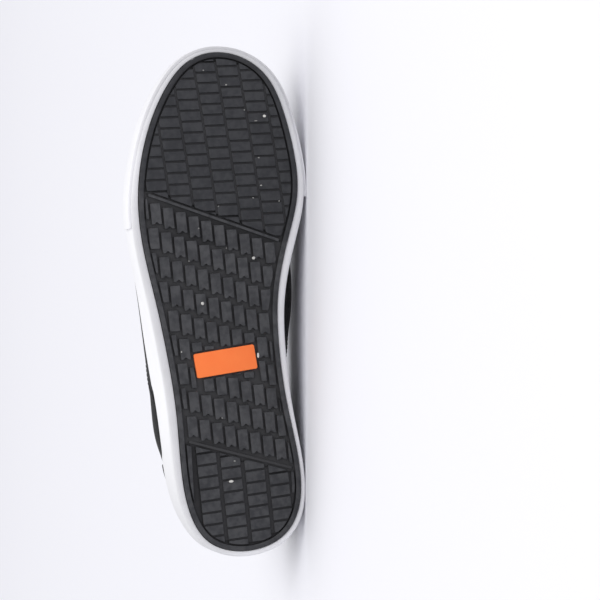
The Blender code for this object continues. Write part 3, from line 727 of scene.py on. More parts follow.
for bricks, limits in ((FOREFOOT_BRICKS, fore_limits), (HEEL_BRICKS, heel_limits)):
    half_web = (bricks.pitch_y - bricks.width) / 2 + 2 * LUG_DRAFT
    half_bed = bricks.width / 2 - LUG_DRAFT
    low_strips += brick_strips(bricks, limits, 0.5, half_web, bricks.web_drop)
    low_strips += brick_strips(bricks, limits, 0.0, half_bed, bricks.bed_drop)

SEAL_DISTANCE = 0.001
LUG_SHARP = 40.0
TREAD_SHARP = 28.0
EDGE_ROUND = 0.35
ARC_SHARE = 0.3

dark_rubber = Finish("dark rubber", {"Specular IOR Level": 0.35})
tread_share = dark_rubber.attribute("tread", "Fac")
cloud = dark_rubber.noise(9.0, 3.0)
grit = dark_rubber.noise(0.35, 2.0)
# Groove colour lies in the recesses below the lug faces, face colour on the faces
on_tread_face = dark_rubber.rise(tread_share + cloud * 0.25, 0.75, 1.15)
bar_groove = dark_rubber.blend(cloud, (0.030, 0.030, 0.032, 1), (0.042, 0.042, 0.045, 1))
# The grooves among the bricks are painted darker than their faces: painted shade in those recesses
brick_groove_shade = dark_rubber.blend(cloud, (0.014, 0.014, 0.016, 1), (0.022, 0.022, 0.024, 1))
wear = dark_rubber.rise(cloud * 0.55 + dark_rubber.noise(3.0) * 0.45, 0.36, 0.64)
bar_face = dark_rubber.blend(wear, (0.031, 0.032, 0.036, 1), (0.061, 0.062, 0.066, 1))
brick_face = dark_rubber.blend(wear, (0.022, 0.023, 0.027, 1), (0.037, 0.038, 0.042, 1))
brick_share = dark_rubber.attribute("brick", "Fac")
among_bricks = dark_rubber.rise(brick_share, 0.0, HEEL_SHADE)
groove = dark_rubber.blend(among_bricks, bar_groove, brick_groove_shade)
tread_face = dark_rubber.blend(brick_share, bar_face, brick_face)
dark_rubber.feed("Base Color", dark_rubber.blend(on_tread_face, groove, tread_face))
dark_rubber.feed("Roughness", 0.52 + grit * 0.16 + cloud * 0.10)
dark_rubber.relief(grit * 0.6 + dark_rubber.noise(2.2) * 0.4, 0.05)

lug_tree, lug_in = new_tree("raise lugs", "Draft", "Bevel")
lug_node = partial(add_node, lug_tree)
lug_height = named_value(lug_tree, "height", "FLOAT")
lug_span = lug_node("GeometryNodeInputMeshFaceArea", {}, {}) ** 0.5
raised = lug_in["Geometry"]
tops = True
for lift, shrink in ((lug_height - lug_in["Bevel"], lug_in["Draft"]), (lug_in["Bevel"], lug_in["Bevel"])):
    sockets = {"Mesh": raised, "Selection": tops, "Offset Scale": lift, "Individual": True}
    walls = lug_node("GeometryNodeExtrudeMesh", {"mode": "FACES"}, sockets)
    tops = walls.other("Top")
    sockets = {"Geometry": walls, "Selection": tops, "Scale": 1 - 2 * shrink / lug_span}
    raised = lug_node("GeometryNodeScaleElements", {"domain": "FACE"}, sockets)
root_face = lug_node("GeometryNodeFlipFaces", {}, {"Mesh": lug_in["Geometry"]})
whole_lugs = lug_node("GeometryNodeJoinGeometry", {}, {"Geometry": [raised, root_face]})
sealed = lug_node("GeometryNodeMergeByDistance", {}, {"Geometry": whole_lugs, "Distance": SEAL_DISTANCE})
end_tree(lug_tree, sealed, dark_rubber)

lug_points = []
lug_faces = []
lug_heights = []
for lug, drop in lugs_and_drops:
    outline = rounded(lug)
    if signed_area(outline) > 0:
        outline = outline[::-1]
    lug_faces.append(tuple(range(len(lug_points), len(lug_points) + len(outline))))
    lug_points += [(corner[0], corner[1], TREAD_DEPTH + LUG_ROOT) for corner in outline]
    lug_heights.append(TREAD_DEPTH + LUG_ROOT - drop)
lug_plan = mesh_of("lug plan", lug_points, lug_faces)
give_values(lug_plan, "height", lug_heights, "FACE")
lugs = grown(lug_plan, lug_tree, {"Draft": LUG_DRAFT, "Bevel": LUG_BEVEL}, LUG_SHARP)

mid_round = ARC_SHARE * EDGE_ROUND
rim_profile = (
    (0.0, SOLE_THICK),
    (0.0, EDGE_ROUND),
    (-mid_round, mid_round),
    (-EDGE_ROUND, 0.0),
    (EDGE_ROUND - RIM_WIDTH, 0.0),
    (mid_round - RIM_WIDTH, mid_round),
    (-RIM_WIDTH, EDGE_ROUND),
    (-RIM_WIDTH - LUG_DRAFT, TREAD_DEPTH),
)
tread_points, tread_faces = edge_stack(rim_profile)
lug_places = points_of(lugs)
lug_places[:, 2] += ground_rise(lug_places[:, 0])
tread_faces += [tuple(len(tread_points) + corner for corner in face.vertices) for face in lugs.polygons]
tread_points = np.concatenate([tread_points, lug_places])
for strip in low_strips:
    tread_faces += band_faces(len(strip), strip.shape[1], False, len(tread_points))
    tread_points = np.concatenate([tread_points, strip.reshape(-1, 3)])
outsole_mesh = smoothed(facing_out(mesh_of("outsole", tread_points, tread_faces)), TREAD_SHARP)
tread_depths = tread_points[:, 2] - ground_rise(tread_points[:, 0])
give_values(outsole_mesh, "tread", 1 - np.clip(tread_depths / TREAD_DEPTH, 0, 1))
ahead_of_waist = (tread_points[:, :2] - fore_point) @ fore_normal
behind_waist = (heel_point - tread_points[:, :2]) @ heel_normal
under_ball = smooth_step(ahead_of_waist, -DIVIDER_HALF_GROOVE, DIVIDER_HALF_GROOVE)
under_heel = smooth_step(behind_waist, -DIVIDER_HALF_GROOVE, DIVIDER_HALF_GROOVE)
give_values(outsole_mesh, "brick", under_ball + HEEL_SHADE * under_heel)
lay_piece("outsole_tread", outsole_mesh, dark_rubber, "dark_rubber", "outsole")

# Label. A small plate of orange rubber let into a pocket of the tread, its edges rounded over and its
# face left bare.
LABEL_CORNER = 1.2
LABEL_TOP = 0.2
LABEL_BEVEL = 0.35
LABEL_CORNER_STEPS = 6
LABEL_SHARP = 50.0


def label_ring(shrink, height):
    """The plate's rounded outline, drawn in by a distance, at a height above the tread plane."""
    corners = []
    radius = LABEL_CORNER - shrink
    for quarter in range(4):
        sign_long = 1 if quarter in (0, 3) else -1
        sign_wide = 1 if quarter in (0, 1) else -1
        for step in range(LABEL_CORNER_STEPS + 1):
            angle = (quarter + step / LABEL_CORNER_STEPS) * math.pi / 2
            long_side = sign_long * (LABEL_LONG / 2 - LABEL_CORNER) + radius * math.cos(angle)
            wide_side = sign_wide * (LABEL_WIDE / 2 - LABEL_CORNER) + radius * math.sin(angle)
            corners.append(LABEL_CENTRE + LABEL_FORWARD * long_side + LABEL_ACROSS * wide_side)
    corners = np.array(corners)
    return np.column_stack([corners, ground_rise(corners[:, 0]) + height])


mid_bevel = ARC_SHARE * LABEL_BEVEL
label_rings = [
    label_ring(0.0, TREAD_DEPTH + LUG_ROOT),
    label_ring(0.0, LABEL_TOP + LABEL_BEVEL),
    label_ring(mid_bevel, LABEL_TOP + mid_bevel),
    label_ring(LABEL_BEVEL, LABEL_TOP),
]
label_faces = band_faces(len(label_rings), len(label_rings[0]), False)
label_mesh = facing_out(mesh_of("sole label", np.concatenate(label_rings), label_faces))
label_mesh = smoothed(label_mesh, LABEL_SHARP)
orange_rubber = Finish("orange rubber", {"Specular IOR Level": 0.4, "Coat Roughness": 0.4})
label_cloud = orange_rubber.noise(6.0, 3.0)
label_colour = orange_rubber.blend(label_cloud, (0.99, 0.190, 0.036, 1), (1.0, 0.225, 0.048, 1))
orange_rubber.feed("Base Color", label_colour)
orange_rubber.feed("Roughness", 0.42 + label_cloud * 0.2)
orange_rubber.relief(orange_rubber.noise(0.5), 0.03)
lay_piece("orange_label", label_mesh, orange_rubber, "orange_rubber", "sole_label")

# Foxing. A band of white rubber rolled on round the sole and the foot of the upper before curing, so it
# fuses to both. Its foot edge is rounded, a fine score runs above it, and the top fifth is rolled
# thinner.
FIT_GAP = 0.3
FOXING_LIFT = 1.3
FOXING_TOP_THICK = 2.2
FOXING_STEP = 0.5
FOXING_STEP_SHARE = 0.80
FOXING_STEP_HALF = 0.02
FOXING_BACK_ROUND = 0.3
FOXING_LIP_ROUND = 0.4
FOXING_TOP_ROUND = 0.8
FOXING_NOOK_ROUND = 0.25
FOXING_STEP_ROUND = 0.4
FOXING_FOOT_ROUND = 2.0
SCORE_SHARE = 0.17
SCORE_HALF = 0.012
SCORE_DEEP = 0.3
SCORE_ROUND = 0.15
WINDOW_FROM = 0.185
WINDOW_TO = 0.345
WINDOW_EASE = 0.022
WINDOW_DIP = 3.6
ROUND_STEPS = 4
LONGEST_LEG = 0.45
BAND_SHARP = 48.0

Band = namedtuple("Band", "along height thick_outer thick_inner lean_outer lean_inner")
FOXING_BANDS = (
    Band(0.00, 27.5, 3.0, 3.0, 1.6, 1.6),
    Band(0.06, 27.3, 3.4, 3.1, 2.3, 1.2),
    Band(0.12, 27.2, 3.9, 2.7, 4.0, 1.0),
    Band(0.25, 26.4, 4.4, 2.7, 6.3, 1.8),
    Band(0.36, 26.5, 4.7, 3.5, 7.1, 3.8),
    Band(0.46, 26.5, 4.7, 4.0, 6.1, 4.8),
    Band(0.56, 26.4, 4.4, 4.4, 4.0, 4.6),
    Band(0.66, 25.7, 4.1, 4.6, 3.5, 1.6),
    Band(0.76, 25.2, 3.1, 3.8, 2.7, 0.5),
    Band(0.88, 25.0, 2.6, 3.7, 2.2, 0.4),
    Band(1.00, 25.0, 2.0, 2.0, 0.6, 0.6),
)
BAND = columns_of(FOXING_BANDS, ())


def foxing_height(angle):
    """Top of the foxing above the tread plane, with the shallow dip on the quarters."""
    fold, _ = folded(angle)
    along = (1 - np.cos(fold)) / 2
    opening = smooth_step(along, WINDOW_FROM, WINDOW_FROM + WINDOW_EASE)
    closing = 1 - smooth_step(along, WINDOW_TO - WINDOW_EASE, WINDOW_TO)
    return BAND["height"](fold) - WINDOW_DIP * np.minimum(opening, closing)


def of_side(curves, name, angle):
    """A value that has an outer and an inner column, on the side where a loop angle lies."""
    fold, side = folded(angle)
    return by_side(side, curves[name + "_outer"](fold), curves[name + "_inner"](fold))


def foxing_face(angle, share, out):
    """Point on the foxing's outer side at a share of its height, moved out by a distance."""
    bottom = FIT_GAP + of_side(BAND, "thick", angle)
    top = FIT_GAP + FOXING_TOP_THICK + of_side(BAND, "lean", angle)
    height = FOXING_LIFT + (foxing_height(angle) - FOXING_LIFT) * share
    return edge_ring(angle, bottom + (top - bottom) * share + out, height)


def rounded_sections(corners_and_radii):
    """Sections of a swept band with each corner rounded by its radius; a zero radius keeps the corner."""
    count = len(corners_and_radii)
    columns = []
    for k, (here, radius) in enumerate(corners_and_radii):
        if radius == 0:
            columns.append(here)
            continue
        legs = []
        for other in (corners_and_radii[k - 1][0], corners_and_radii[(k + 1) % count][0]):
            way = other - here
            length = np.linalg.norm(way, axis=-1, keepdims=True)
            legs.append(here + way / length * np.minimum(radius, LONGEST_LEG * length))
        for t in np.linspace(0, 1, ROUND_STEPS):
            columns.append(legs[0] * (1 - t) ** 2 + here * 2 * t * (1 - t) + legs[1] * t**2)
    return np.stack(columns, axis=1)


def band_mesh(name, corners_and_radii, closed_path):
    sections = rounded_sections(corners_and_radii)
    rows, columns = sections.shape[:2]
    faces = band_faces(rows, columns, closed_path)
    mesh = smoothed(facing_out(mesh_of(name, sections, faces)), BAND_SHARP)
    places = points_of(mesh)
    give_values(mesh, "height", (places[:, 2] - ground_rise(places[:, 0])) * MM)
    return mesh


# Stretches over which dirt and painted shade come or go, in metres along, across and up the standing shoe
SCRAPED_TOE = (0.22, 0.28)
HEEL_END = (0.015, 0.09)
WAIST_FRONT = (0.17, 0.22)
OUTER_SIDE = (-0.02, 0.0)
FOOT_EDGE = (0.0016, 0.0042)
SCRAPE_RISE = 0.0015

white_rubber = Finish("white rubber", {"Specular IOR Level": 0.4})
band_height = white_rubber.attribute("height", "Fac")
smudge = white_rubber.noise(14.0, 4.0)
fine_grain = white_rubber.noise(0.6, 2.0)
place = white_rubber.attribute("standing", "Vector")
along = white_rubber.node("ShaderNodeSeparateXYZ", {}, {"Vector": place}, "X")
scraped_toe = white_rubber.rise(along, *SCRAPED_TOE)
# The heel end of the band: its foot edge is a little lighter, and the wall above it is painted darker
heel_end = 1 - white_rubber.rise(along, *HEEL_END)
outer_side = 1 - white_rubber.rise(along.other("Y"), *OUTER_SIDE)
# On the outer side from the heel to the waist the foot edge is painted darker still: painted shade on its
# rounding
outer_waist_shade = outer_side * (1 - white_rubber.rise(along, *WAIST_FRONT))
foot_edge = 1 - white_rubber.rise(band_height - scraped_toe * SCRAPE_RISE, *FOOT_EDGE)
# The foot edge of the band is darkened partly by dirt and partly by painted shade on the rounded edge turned
# away from the light
edge_soil_and_shade = 0.15 + smudge * 0.35 + outer_waist_shade * 0.28 - heel_end * 0.10
edge_soil_and_shade = edge_soil_and_shade + scraped_toe * (0.52 - outer_side * 0.20)
# Above the foot edge the heel end is painted darker: painted shade from the curve of the heel
soil_and_shade = foot_edge * edge_soil_and_shade + (1 - foot_edge) * heel_end * 0.35
scuffed = white_rubber.rise(smudge, 0.62, 0.78) * 0.12
clean_white = white_rubber.blend(smudge, (0.85, 0.85, 0.88, 1), (0.90, 0.90, 0.92, 1))
soiled_and_shaded_white = white_rubber.blend(soil_and_shade, clean_white, (0.55, 0.55, 0.56, 1))
white_rubber.feed("Base Color", white_rubber.blend(scuffed, soiled_and_shaded_white, (0.42, 0.41, 0.40, 1)))
white_rubber.feed("Roughness", 0.42 + smudge * 0.18)
white_rubber.relief(fine_grain * 0.5 + smudge * 0.5, 0.04)

foxing_lip = edge_ring(loop, FIT_GAP + of_side(BAND, "lean", loop), foxing_height(loop))
foxing_corners = [
    (edge_ring(loop, FIT_GAP, FOXING_LIFT), FOXING_BACK_ROUND),
    (edge_ring(loop, FIT_GAP, SOLE_THICK), 0),
    (foxing_lip, FOXING_LIP_ROUND),
    (foxing_face(loop, 1.0, -FOXING_STEP), FOXING_TOP_ROUND),
    (foxing_face(loop, FOXING_STEP_SHARE + FOXING_STEP_HALF, -FOXING_STEP), FOXING_NOOK_ROUND),
    (foxing_face(loop, FOXING_STEP_SHARE - FOXING_STEP_HALF, 0.0), FOXING_STEP_ROUND),
    (foxing_face(loop, SCORE_SHARE + SCORE_HALF, 0.0), SCORE_ROUND),
    (foxing_face(loop, SCORE_SHARE, -SCORE_DEEP), 0),
    (foxing_face(loop, SCORE_SHARE - SCORE_HALF, 0.0), SCORE_ROUND),
    (foxing_face(loop, 0.0, 0.0), FOXING_FOOT_ROUND),
]
foxing_mesh = band_mesh("foxing", foxing_corners, True)
lay_piece("foxing_band", foxing_mesh, white_rubber, "white_rubber", "foxing")

# Toe strip. A second strip of the same white rubber, cured over the foxing from the outer ball round the
# toe to the inner ball, with rounded edges and cut ends.
TOE_STRIP_THICK = 1.4
TOE_STRIP_OUTER_END = 0.655
TOE_STRIP_INNER_END = 0.705
TOE_STRIP_LOW = 0.09
TOE_STRIP_HIGH = 0.74
TOE_STRIP_ROUND = 0.7
TOE_STRIP_BACK_ROUND = 0.2
TOE_STRIP_STEPS = 160

strip_start = float(heel_to_toe_angle(TOE_STRIP_OUTER_END))
strip_end = FULL_TURN - float(heel_to_toe_angle(TOE_STRIP_INNER_END))
strip_path = np.linspace(strip_start, strip_end, TOE_STRIP_STEPS)
strip_corners = [
    (foxing_face(strip_path, TOE_STRIP_LOW, 0.0), TOE_STRIP_BACK_ROUND),
    (foxing_face(strip_path, TOE_STRIP_HIGH, 0.0), TOE_STRIP_BACK_ROUND),
    (foxing_face(strip_path, TOE_STRIP_HIGH, FIT_GAP + TOE_STRIP_THICK), TOE_STRIP_ROUND),
    (foxing_face(strip_path, TOE_STRIP_LOW, FIT_GAP + TOE_STRIP_THICK), TOE_STRIP_ROUND),
]
strip_mesh = band_mesh("toe strip", strip_corners, False)
lay_piece("toe_strip_band", strip_mesh, white_rubber, "white_rubber", "toe_strip")

# Insole. A sock of thin foam faced with brushed cloth, lying loose on the top of the outsole inside the
# foot of the upper, with rounded edges.
UPPER_WALL = 2.0
INSOLE_THICK = 4.0
INSOLE_CLEARANCE = 1.2
INSOLE_ROUND = 1.4
INSOLE_DISH = 0.5
INSOLE_DISH_INSET = 9.0
INSOLE_SHARP = 60.0

insole_edge = UPPER_WALL + INSOLE_CLEARANCE
insole_low = SOLE_THICK + FIT_GAP
insole_high = insole_low + INSOLE_THICK
mid_round = ARC_SHARE * INSOLE_ROUND
insole_profile = (
    (-insole_edge, insole_low),
    (-insole_edge, insole_high - INSOLE_ROUND),
    (-insole_edge - mid_round, insole_high - mid_round),
    (-insole_edge - INSOLE_ROUND, insole_high),
    (-insole_edge - INSOLE_DISH_INSET, insole_high - INSOLE_DISH),
)
insole_mesh = smoothed(facing_out(mesh_of("insole", *edge_stack(insole_profile))), INSOLE_SHARP)
foam_sock = Finish("foam sock", {"Specular IOR Level": 0.2})
sock_cloud = foam_sock.noise(18.0, 3.0)
sock_nap = foam_sock.noise(0.5, 3.0, (1.0, 2.5, 1.0))
foam_sock.feed("Base Color", foam_sock.blend(sock_cloud, (0.060, 0.060, 0.065, 1), (0.095, 0.095, 0.10, 1)))
foam_sock.feed("Roughness", 0.85 + sock_nap * 0.12)
foam_sock.relief(sock_nap, 0.12)
insole_piece = lay_piece("foam_insole", insole_mesh, foam_sock, "foam_sock", "insole")

# Upper. A vamp and two quarters of black canvas, sewn together over a dark lining and pulled down over
# the last. The foot of the wall is glued round the outsole behind the foxing, and a slot on each side of
# the throat takes elastic.
TOP_ROW = 2.0
FOOT_ROWS = (0.0, 0.5, 1.0)
LOWER_ROWS = 26
HIGHER_ROWS = 24
SHOWN_ROW = 1.08
GIRTH_ROW = 1.4
GORE_FROM = math.radians(90)
GORE_TO = math.radians(105)
GORE_LOW = 1.53
SEAM_FOOT = math.radians(64)
SEAM_DIP = 0.35
SEAM_FADE = math.radians(2.2)
THREAD_PITCH = 0.55
SLUB_LONG = 7.0
SLUB_WIDE = 0.9
CANVAS_RELIEF = 0.22
CLOTH_SHARP = 50.0
LINING = (0.045, 0.045, 0.05, 1)

Rib = namedtuple("Rib", "place along top_x top_y top_z heading fall belly_outer belly_inner rise reach")
UPPER_RIBS = (
    Rib("heel back", 0.000, 9.0, 0.0, 71.0, 180.0, 24.0, 0.6, 0.6, 15.0, 16.0),
    Rib("heel turn", 0.030, 14.0, 18.0, 70.0, 138.0, 22.0, -0.8, 2.0, 15.0, 16.0),
    Rib("heel side", 0.110, 33.0, 29.5, 66.0, 104.0, 18.0, -2.0, 3.6, 14.0, 15.0),
    Rib("rear quarter", 0.170, 48.8, 32.4, 62.0, 96.5, 15.4, 1.6, 4.9, 13.0, 13.2),
    Rib("quarter", 0.220, 62.0, 33.5, 59.0, 92.0, 14.0, 10.0, 6.0, 12.0, 12.0),
    Rib("ankle", 0.330, 87.0, 33.5, 56.5, 88.0, 14.0, 9.4, 7.0, 11.0, 11.0),
    Rib("waist", 0.430, 108.0, 32.0, 60.5, 84.0, 22.0, 6.6, 15.6, 12.0, 14.0),
    Rib("gore", 0.540, 129.0, 28.5, 70.0, 74.0, 34.0, 4.5, 18.6, 14.0, 22.0),
    Rib("throat side", 0.640, 142.5, 22.0, 79.0, 54.0, 48.0, 1.5, 8.0, 15.0, 36.0),
    Rib("ball", 0.760, 148.5, 14.0, 84.0, 33.0, 58.0, 0.5, 1.0, 17.0, 54.0),
    Rib("toe side", 0.900, 150.6, 6.8, 86.0, 14.0, 62.5, 0.0, 0.0, 19.0, 80.0),
    Rib("toe tip", 1.000, 151.0, 0.0, 86.5, 0.0, 64.0, 0.0, 0.0, 20.0, 92.0),
)
RIB = columns_of(UPPER_RIBS, ("top_y", "heading"))

# Each crease is a soft trough through three spots of the wall, given by angles round the loop and rows
Crease = namedtuple("Crease", "angle_a row_a angle_b row_b angle_c row_c wide deep")
CREASES = (
    Crease(116, 1.30, 138, 1.62, 172, 1.76, 5.0, 1.7),
    Crease(244, 1.28, 224, 1.60, 190, 1.74, 5.0, 1.6),
    Crease(121, 1.22, 142, 1.48, 176, 1.60, 4.5, 1.3),
    Crease(238, 1.24, 218, 1.50, 186, 1.58, 4.5, 1.3),
    Crease(124, 1.16, 140, 1.34, 160, 1.44, 4.0, 0.8),
    Crease(235, 1.17, 220, 1.36, 202, 1.46, 4.0, 0.8),
    Crease(52, 1.60, 64, 1.52, 80, 1.62, 5.0, 1.3),
    Crease(306, 1.62, 294, 1.54, 281, 1.60, 5.0, 1.3),
    Crease(70, 1.76, 79, 1.56, 87, 1.34, 3.6, 1.0),
    Crease(290, 1.76, 281, 1.56, 273, 1.34, 3.6, 1.0),
    Crease(44, 1.44, 56, 1.34, 70, 1.40, 5.5, 0.9),
    Crease(315, 1.44, 303, 1.33, 290, 1.40, 5.5, 0.9),
)
CREASE_STEPS = 24


def upper_point(angle, row):
    """The upper's outer face: rows 0 to 1 stand inside the foxing, rows 1 to 2 rise to the top-line."""
    angle, row = np.broadcast_arrays(np.asarray(angle, float), np.asarray(row, float))
    fold, side = folded(angle)
    zero = np.zeros_like(angle)
    foot = edge_ring(angle, zero, SOLE_THICK + FIT_GAP)
    knee = edge_ring(angle, of_side(BAND, "lean", angle), foxing_height(angle))
    top = np.stack([RIB["top_x"](fold), side * RIB["top_y"](fold), RIB["top_z"](fold)], axis=-1)
    heading = np.radians(RIB["heading"](fold))
    fall = np.radians(RIB["fall"](fold))
    out = np.stack([np.cos(heading), side * np.sin(heading), zero], axis=-1)
    up = np.array([0.0, 0.0, 1.0])
    outward = np.concatenate([edge_normal(angle), zero[..., None]], axis=-1)
    low = knee + up * RIB["rise"](fold)[..., None] + outward * of_side(RIB, "belly", angle)[..., None]
    reach = RIB["reach"](fold)[..., None]
    high = top + (out * np.sin(fall)[..., None] - up * np.cos(fall)[..., None]) * reach
    band = np.clip(row, 0, 1)[..., None]
    t = np.clip(row - 1, 0, 1)[..., None]
    arc = knee * (1 - t) ** 3 + 3 * low * t * (1 - t) ** 2 + 3 * high * t**2 * (1 - t) + top * t**3
    return np.where(row[..., None] <= 1, foot + (knee - foot) * band, arc)


def upper_directions(angle, row):
    """Unit outward normal of the upper and unit direction up its wall."""
    small = 2e-3
    round_shoe = upper_point(angle + small, row) - upper_point(angle - small, row)
    up_wall = upper_point(angle, np.minimum(row + small, TOP_ROW)) - upper_point(angle, row - small)
    up_wall = up_wall / np.linalg.norm(up_wall, axis=-1, keepdims=True)
    normal = np.cross(round_shoe, up_wall)
    return normal / np.linalg.norm(normal, axis=-1, keepdims=True), up_wall


def upper_offset(angle, row, out):
    """Points at a distance out from the upper's outer face."""
    angle, row = np.broadcast_arrays(np.asarray(angle, float), np.asarray(row, float))
    normal, _ = upper_directions(angle, row)
    return upper_point(angle, row) + normal * np.asarray(out, float)[..., None]


def crease_depth(points):
    """How deep each point of the wall lies in the creases."""
    depth = np.zeros(points.shape[:-1])
    share = np.linspace(0, 1, CREASE_STEPS)
    first, middle, last = (1 - share) ** 2, 2 * share * (1 - share), share**2
    for crease in CREASES:
        angle = np.radians(first * crease.angle_a + middle * crease.angle_b + last * crease.angle_c)
        row = first * crease.row_a + middle * crease.row_b + last * crease.row_c
        trough = np.zeros_like(depth)
        for spot, fade in zip(upper_point(angle, row), np.sin(math.pi * share)):
            distance = np.linalg.norm(points - spot, axis=-1)
            trough = np.maximum(trough, fade * np.exp(-((distance / crease.wide) ** 2)))
        depth += crease.deep * trough
    return depth


def seam_angle(row):
    """Where the front edge of a quarter lies over the vamp: from the slot down and back to the foxing."""
    share = np.clip((row - 1) / (GORE_LOW - 1), 0, 1)
    return SEAM_FOOT + (GORE_FROM - SEAM_FOOT) * share


def shell_mesh(name, outer, inner, weaves, kept=None, panels=None, wraps=False):
    """A closed wall between two grids of points over the cells kept, with thread places for each panel."""
    rows, columns = outer.shape[:2]
    size = rows * columns
    kept = np.ones((rows, columns), bool) if kept is None else kept
    panels = np.zeros((rows, columns), int) if panels is None else panels
    faces = []
    cells = []
    edges = {}
    for j in range(rows - 1):
        for i in range(columns if wraps else columns - 1):
            if kept[j, i]:
                n = (i + 1) % columns
                face = (j * columns + i, j * columns + n, (j + 1) * columns + n, (j + 1) * columns + i)
                faces += [face, tuple(size + corner for corner in face[::-1])]
                cells += [(j, i), (j, i)]
                for k in range(4):
                    edges[face[k - 1], face[k]] = (j, i)
    for (start, end), cell in edges.items():
        if (end, start) not in edges:
            faces.append((end, start, start + size, end + size))
            cells.append(cell)
    corners = np.array(faces)
    used, renamed = np.unique(corners, return_inverse=True)
    points = np.concatenate([outer.reshape(-1, 3), inner.reshape(-1, 3)])[used]
    mesh = smoothed(mesh_of(name, points, renamed.reshape(-1, 4).tolist()), CLOTH_SHARP)
    give_values(mesh, "inside", used >= size)
    flat_weaves = np.stack([weave.reshape(-1, 2) for weave in weaves])
    panel_of_face = np.array([panels[cell] for cell in cells])
    places = np.zeros((len(corners), 4, 3))
    places[..., :2] = flat_weaves[panel_of_face[:, None], corners % size]
    give_values(mesh, "weave", places, "CORNER")
    return mesh


def cloth(name, dark, light, pitch, depth):
    """Plain-woven cloth: warp and weft threads take turns to lie on top; the inside shows its lining."""
    finish = Finish(name, {"Specular IOR Level": 0.2, "Sheen Weight": 0.16, "Sheen Roughness": 0.45})
    threads = finish.attribute("weave", "Vector")
    place = finish.node("ShaderNodeSeparateXYZ", {}, {"Vector": threads}, "X")
    warp = (place * (math.pi / pitch)).sine()
    weft = (place.other("Y") * (math.pi / pitch)).sine()
    warp_on_top = (warp * weft).above(0.0)
    height = warp_on_top * warp.size() + (1 - warp_on_top) * weft.size()
    slubs = 0.0
    for way in ((SLUB_LONG, SLUB_WIDE, 0.0), (SLUB_WIDE, SLUB_LONG, 0.0)):
        drawn_out = finish.node("ShaderNodeVectorMath", {"operation": "DIVIDE"}, {0: threads, 1: way})
        slubs = slubs + finish.node("ShaderNodeTexNoise", {}, {"Vector": drawn_out, "Scale": 1.0}, "Fac")
    slubs = finish.rise(slubs, 0.75, 1.25)
    fade = finish.noise(16.0, 4.0)
    # The low places of the weave are painted darker than the thread crowns: painted shade between the
    # threads
    outside = finish.blend(fade * 0.4 + height * 0.25 + slubs * 0.35, dark, light)
    finish.feed("Base Color", finish.blend(finish.attribute("inside", "Fac"), outside, LINING))
    finish.feed("Roughness", 0.82 + fade * 0.12)
    finish.relief(height * 0.6 + slubs * 0.4, depth)
    return finish


lower_rows = np.linspace(1.0, GORE_LOW, LOWER_ROWS + 1)[1:]
higher_rows = np.linspace(GORE_LOW, TOP_ROW, HIGHER_ROWS + 1)[1:]
upper_rows = np.concatenate([FOOT_ROWS, lower_rows, higher_rows])
angle_grid, row_grid = np.meshgrid(loop, upper_rows)
wall_out = upper_point(angle_grid, row_grid)
fold_grid, _ = folded(angle_grid)
ahead_of_seam = fold_grid - seam_angle(row_grid)
seam_dip = SEAM_DIP * (1 - smooth_step(ahead_of_seam, 0, SEAM_FADE))
seam_dip = seam_dip * (ahead_of_seam > 0) * (row_grid < GORE_LOW)
shown = smooth_step(row_grid, 1.0, SHOWN_ROW)
sunk = (crease_depth(wall_out) + seam_dip) * shown
wall_normal, _ = upper_directions(angle_grid, row_grid)
wall_in = wall_out - wall_normal * (UPPER_WALL + sunk[..., None])
wall_out = wall_out - wall_normal * sunk[..., None]

cell_angle, _ = folded(loop + FULL_TURN / LOOP / 2)
cell_row = (upper_rows[1:] + upper_rows[:-1]) / 2
in_slot = ((cell_angle > GORE_FROM) & (cell_angle < GORE_TO))[None, :] & (cell_row > GORE_LOW)[:, None]
in_vamp = (cell_angle[None, :] > seam_angle(cell_row)[:, None]).astype(int)
middle_ring = upper_point(loop, GIRTH_ROW)
steps_round = np.linalg.norm(np.roll(middle_ring, -1, axis=0) - middle_ring, axis=-1)
girth = np.concatenate([[0.0], np.cumsum(steps_round)[:-1]])
girth = np.where(loop > math.pi, girth - steps_round.sum(), girth)
quarter_weave = np.stack([np.broadcast_to(girth, row_grid.shape), wall_out[..., 2]], axis=-1)
ridge = upper_point(math.pi, upper_rows)[::-1]
ridge_height = np.interp(wall_out[..., 0], ridge[:, 0], ridge[:, 2])
from_ridge = np.hypot(wall_out[..., 1], ridge_height - wall_out[..., 2]) * np.sign(wall_out[..., 1])
vamp_weave = np.stack([wall_out[..., 0], from_ridge], axis=-1)
upper_mesh = shell_mesh("upper", wall_out, wall_in, [quarter_weave, vamp_weave], ~in_slot, in_vamp, True)
canvas_colours = (0.008, 0.008, 0.009, 1), (0.028, 0.028, 0.030, 1)
canvas = cloth("black canvas", *canvas_colours, THREAD_PITCH, CANVAS_RELIEF)
lay_piece("upper_wall", upper_mesh, canvas, "black_canvas", "upper")

# Heel counter. A shaped piece of close black cloth sewn over the back of both quarters to stiffen them,
# its edges turned under so that they are rounded.
COUNTER_END = 0.175
COUNTER_THICK = 1.2
COUNTER_LOW = 1.05
COUNTER_HIGH = 1.78
COUNTER_DROP = 0.26
COUNTER_COLUMNS = 121
COUNTER_ROWS = 41
COUNTER_ROUND = 0.04
COUNTER_EDGE = 0.35
COUNTER_BACK = 0.05
COUNTER_RADIUS = 60.0
OVERLAY_PITCH = 0.42
OVERLAY_RELIEF = 0.10

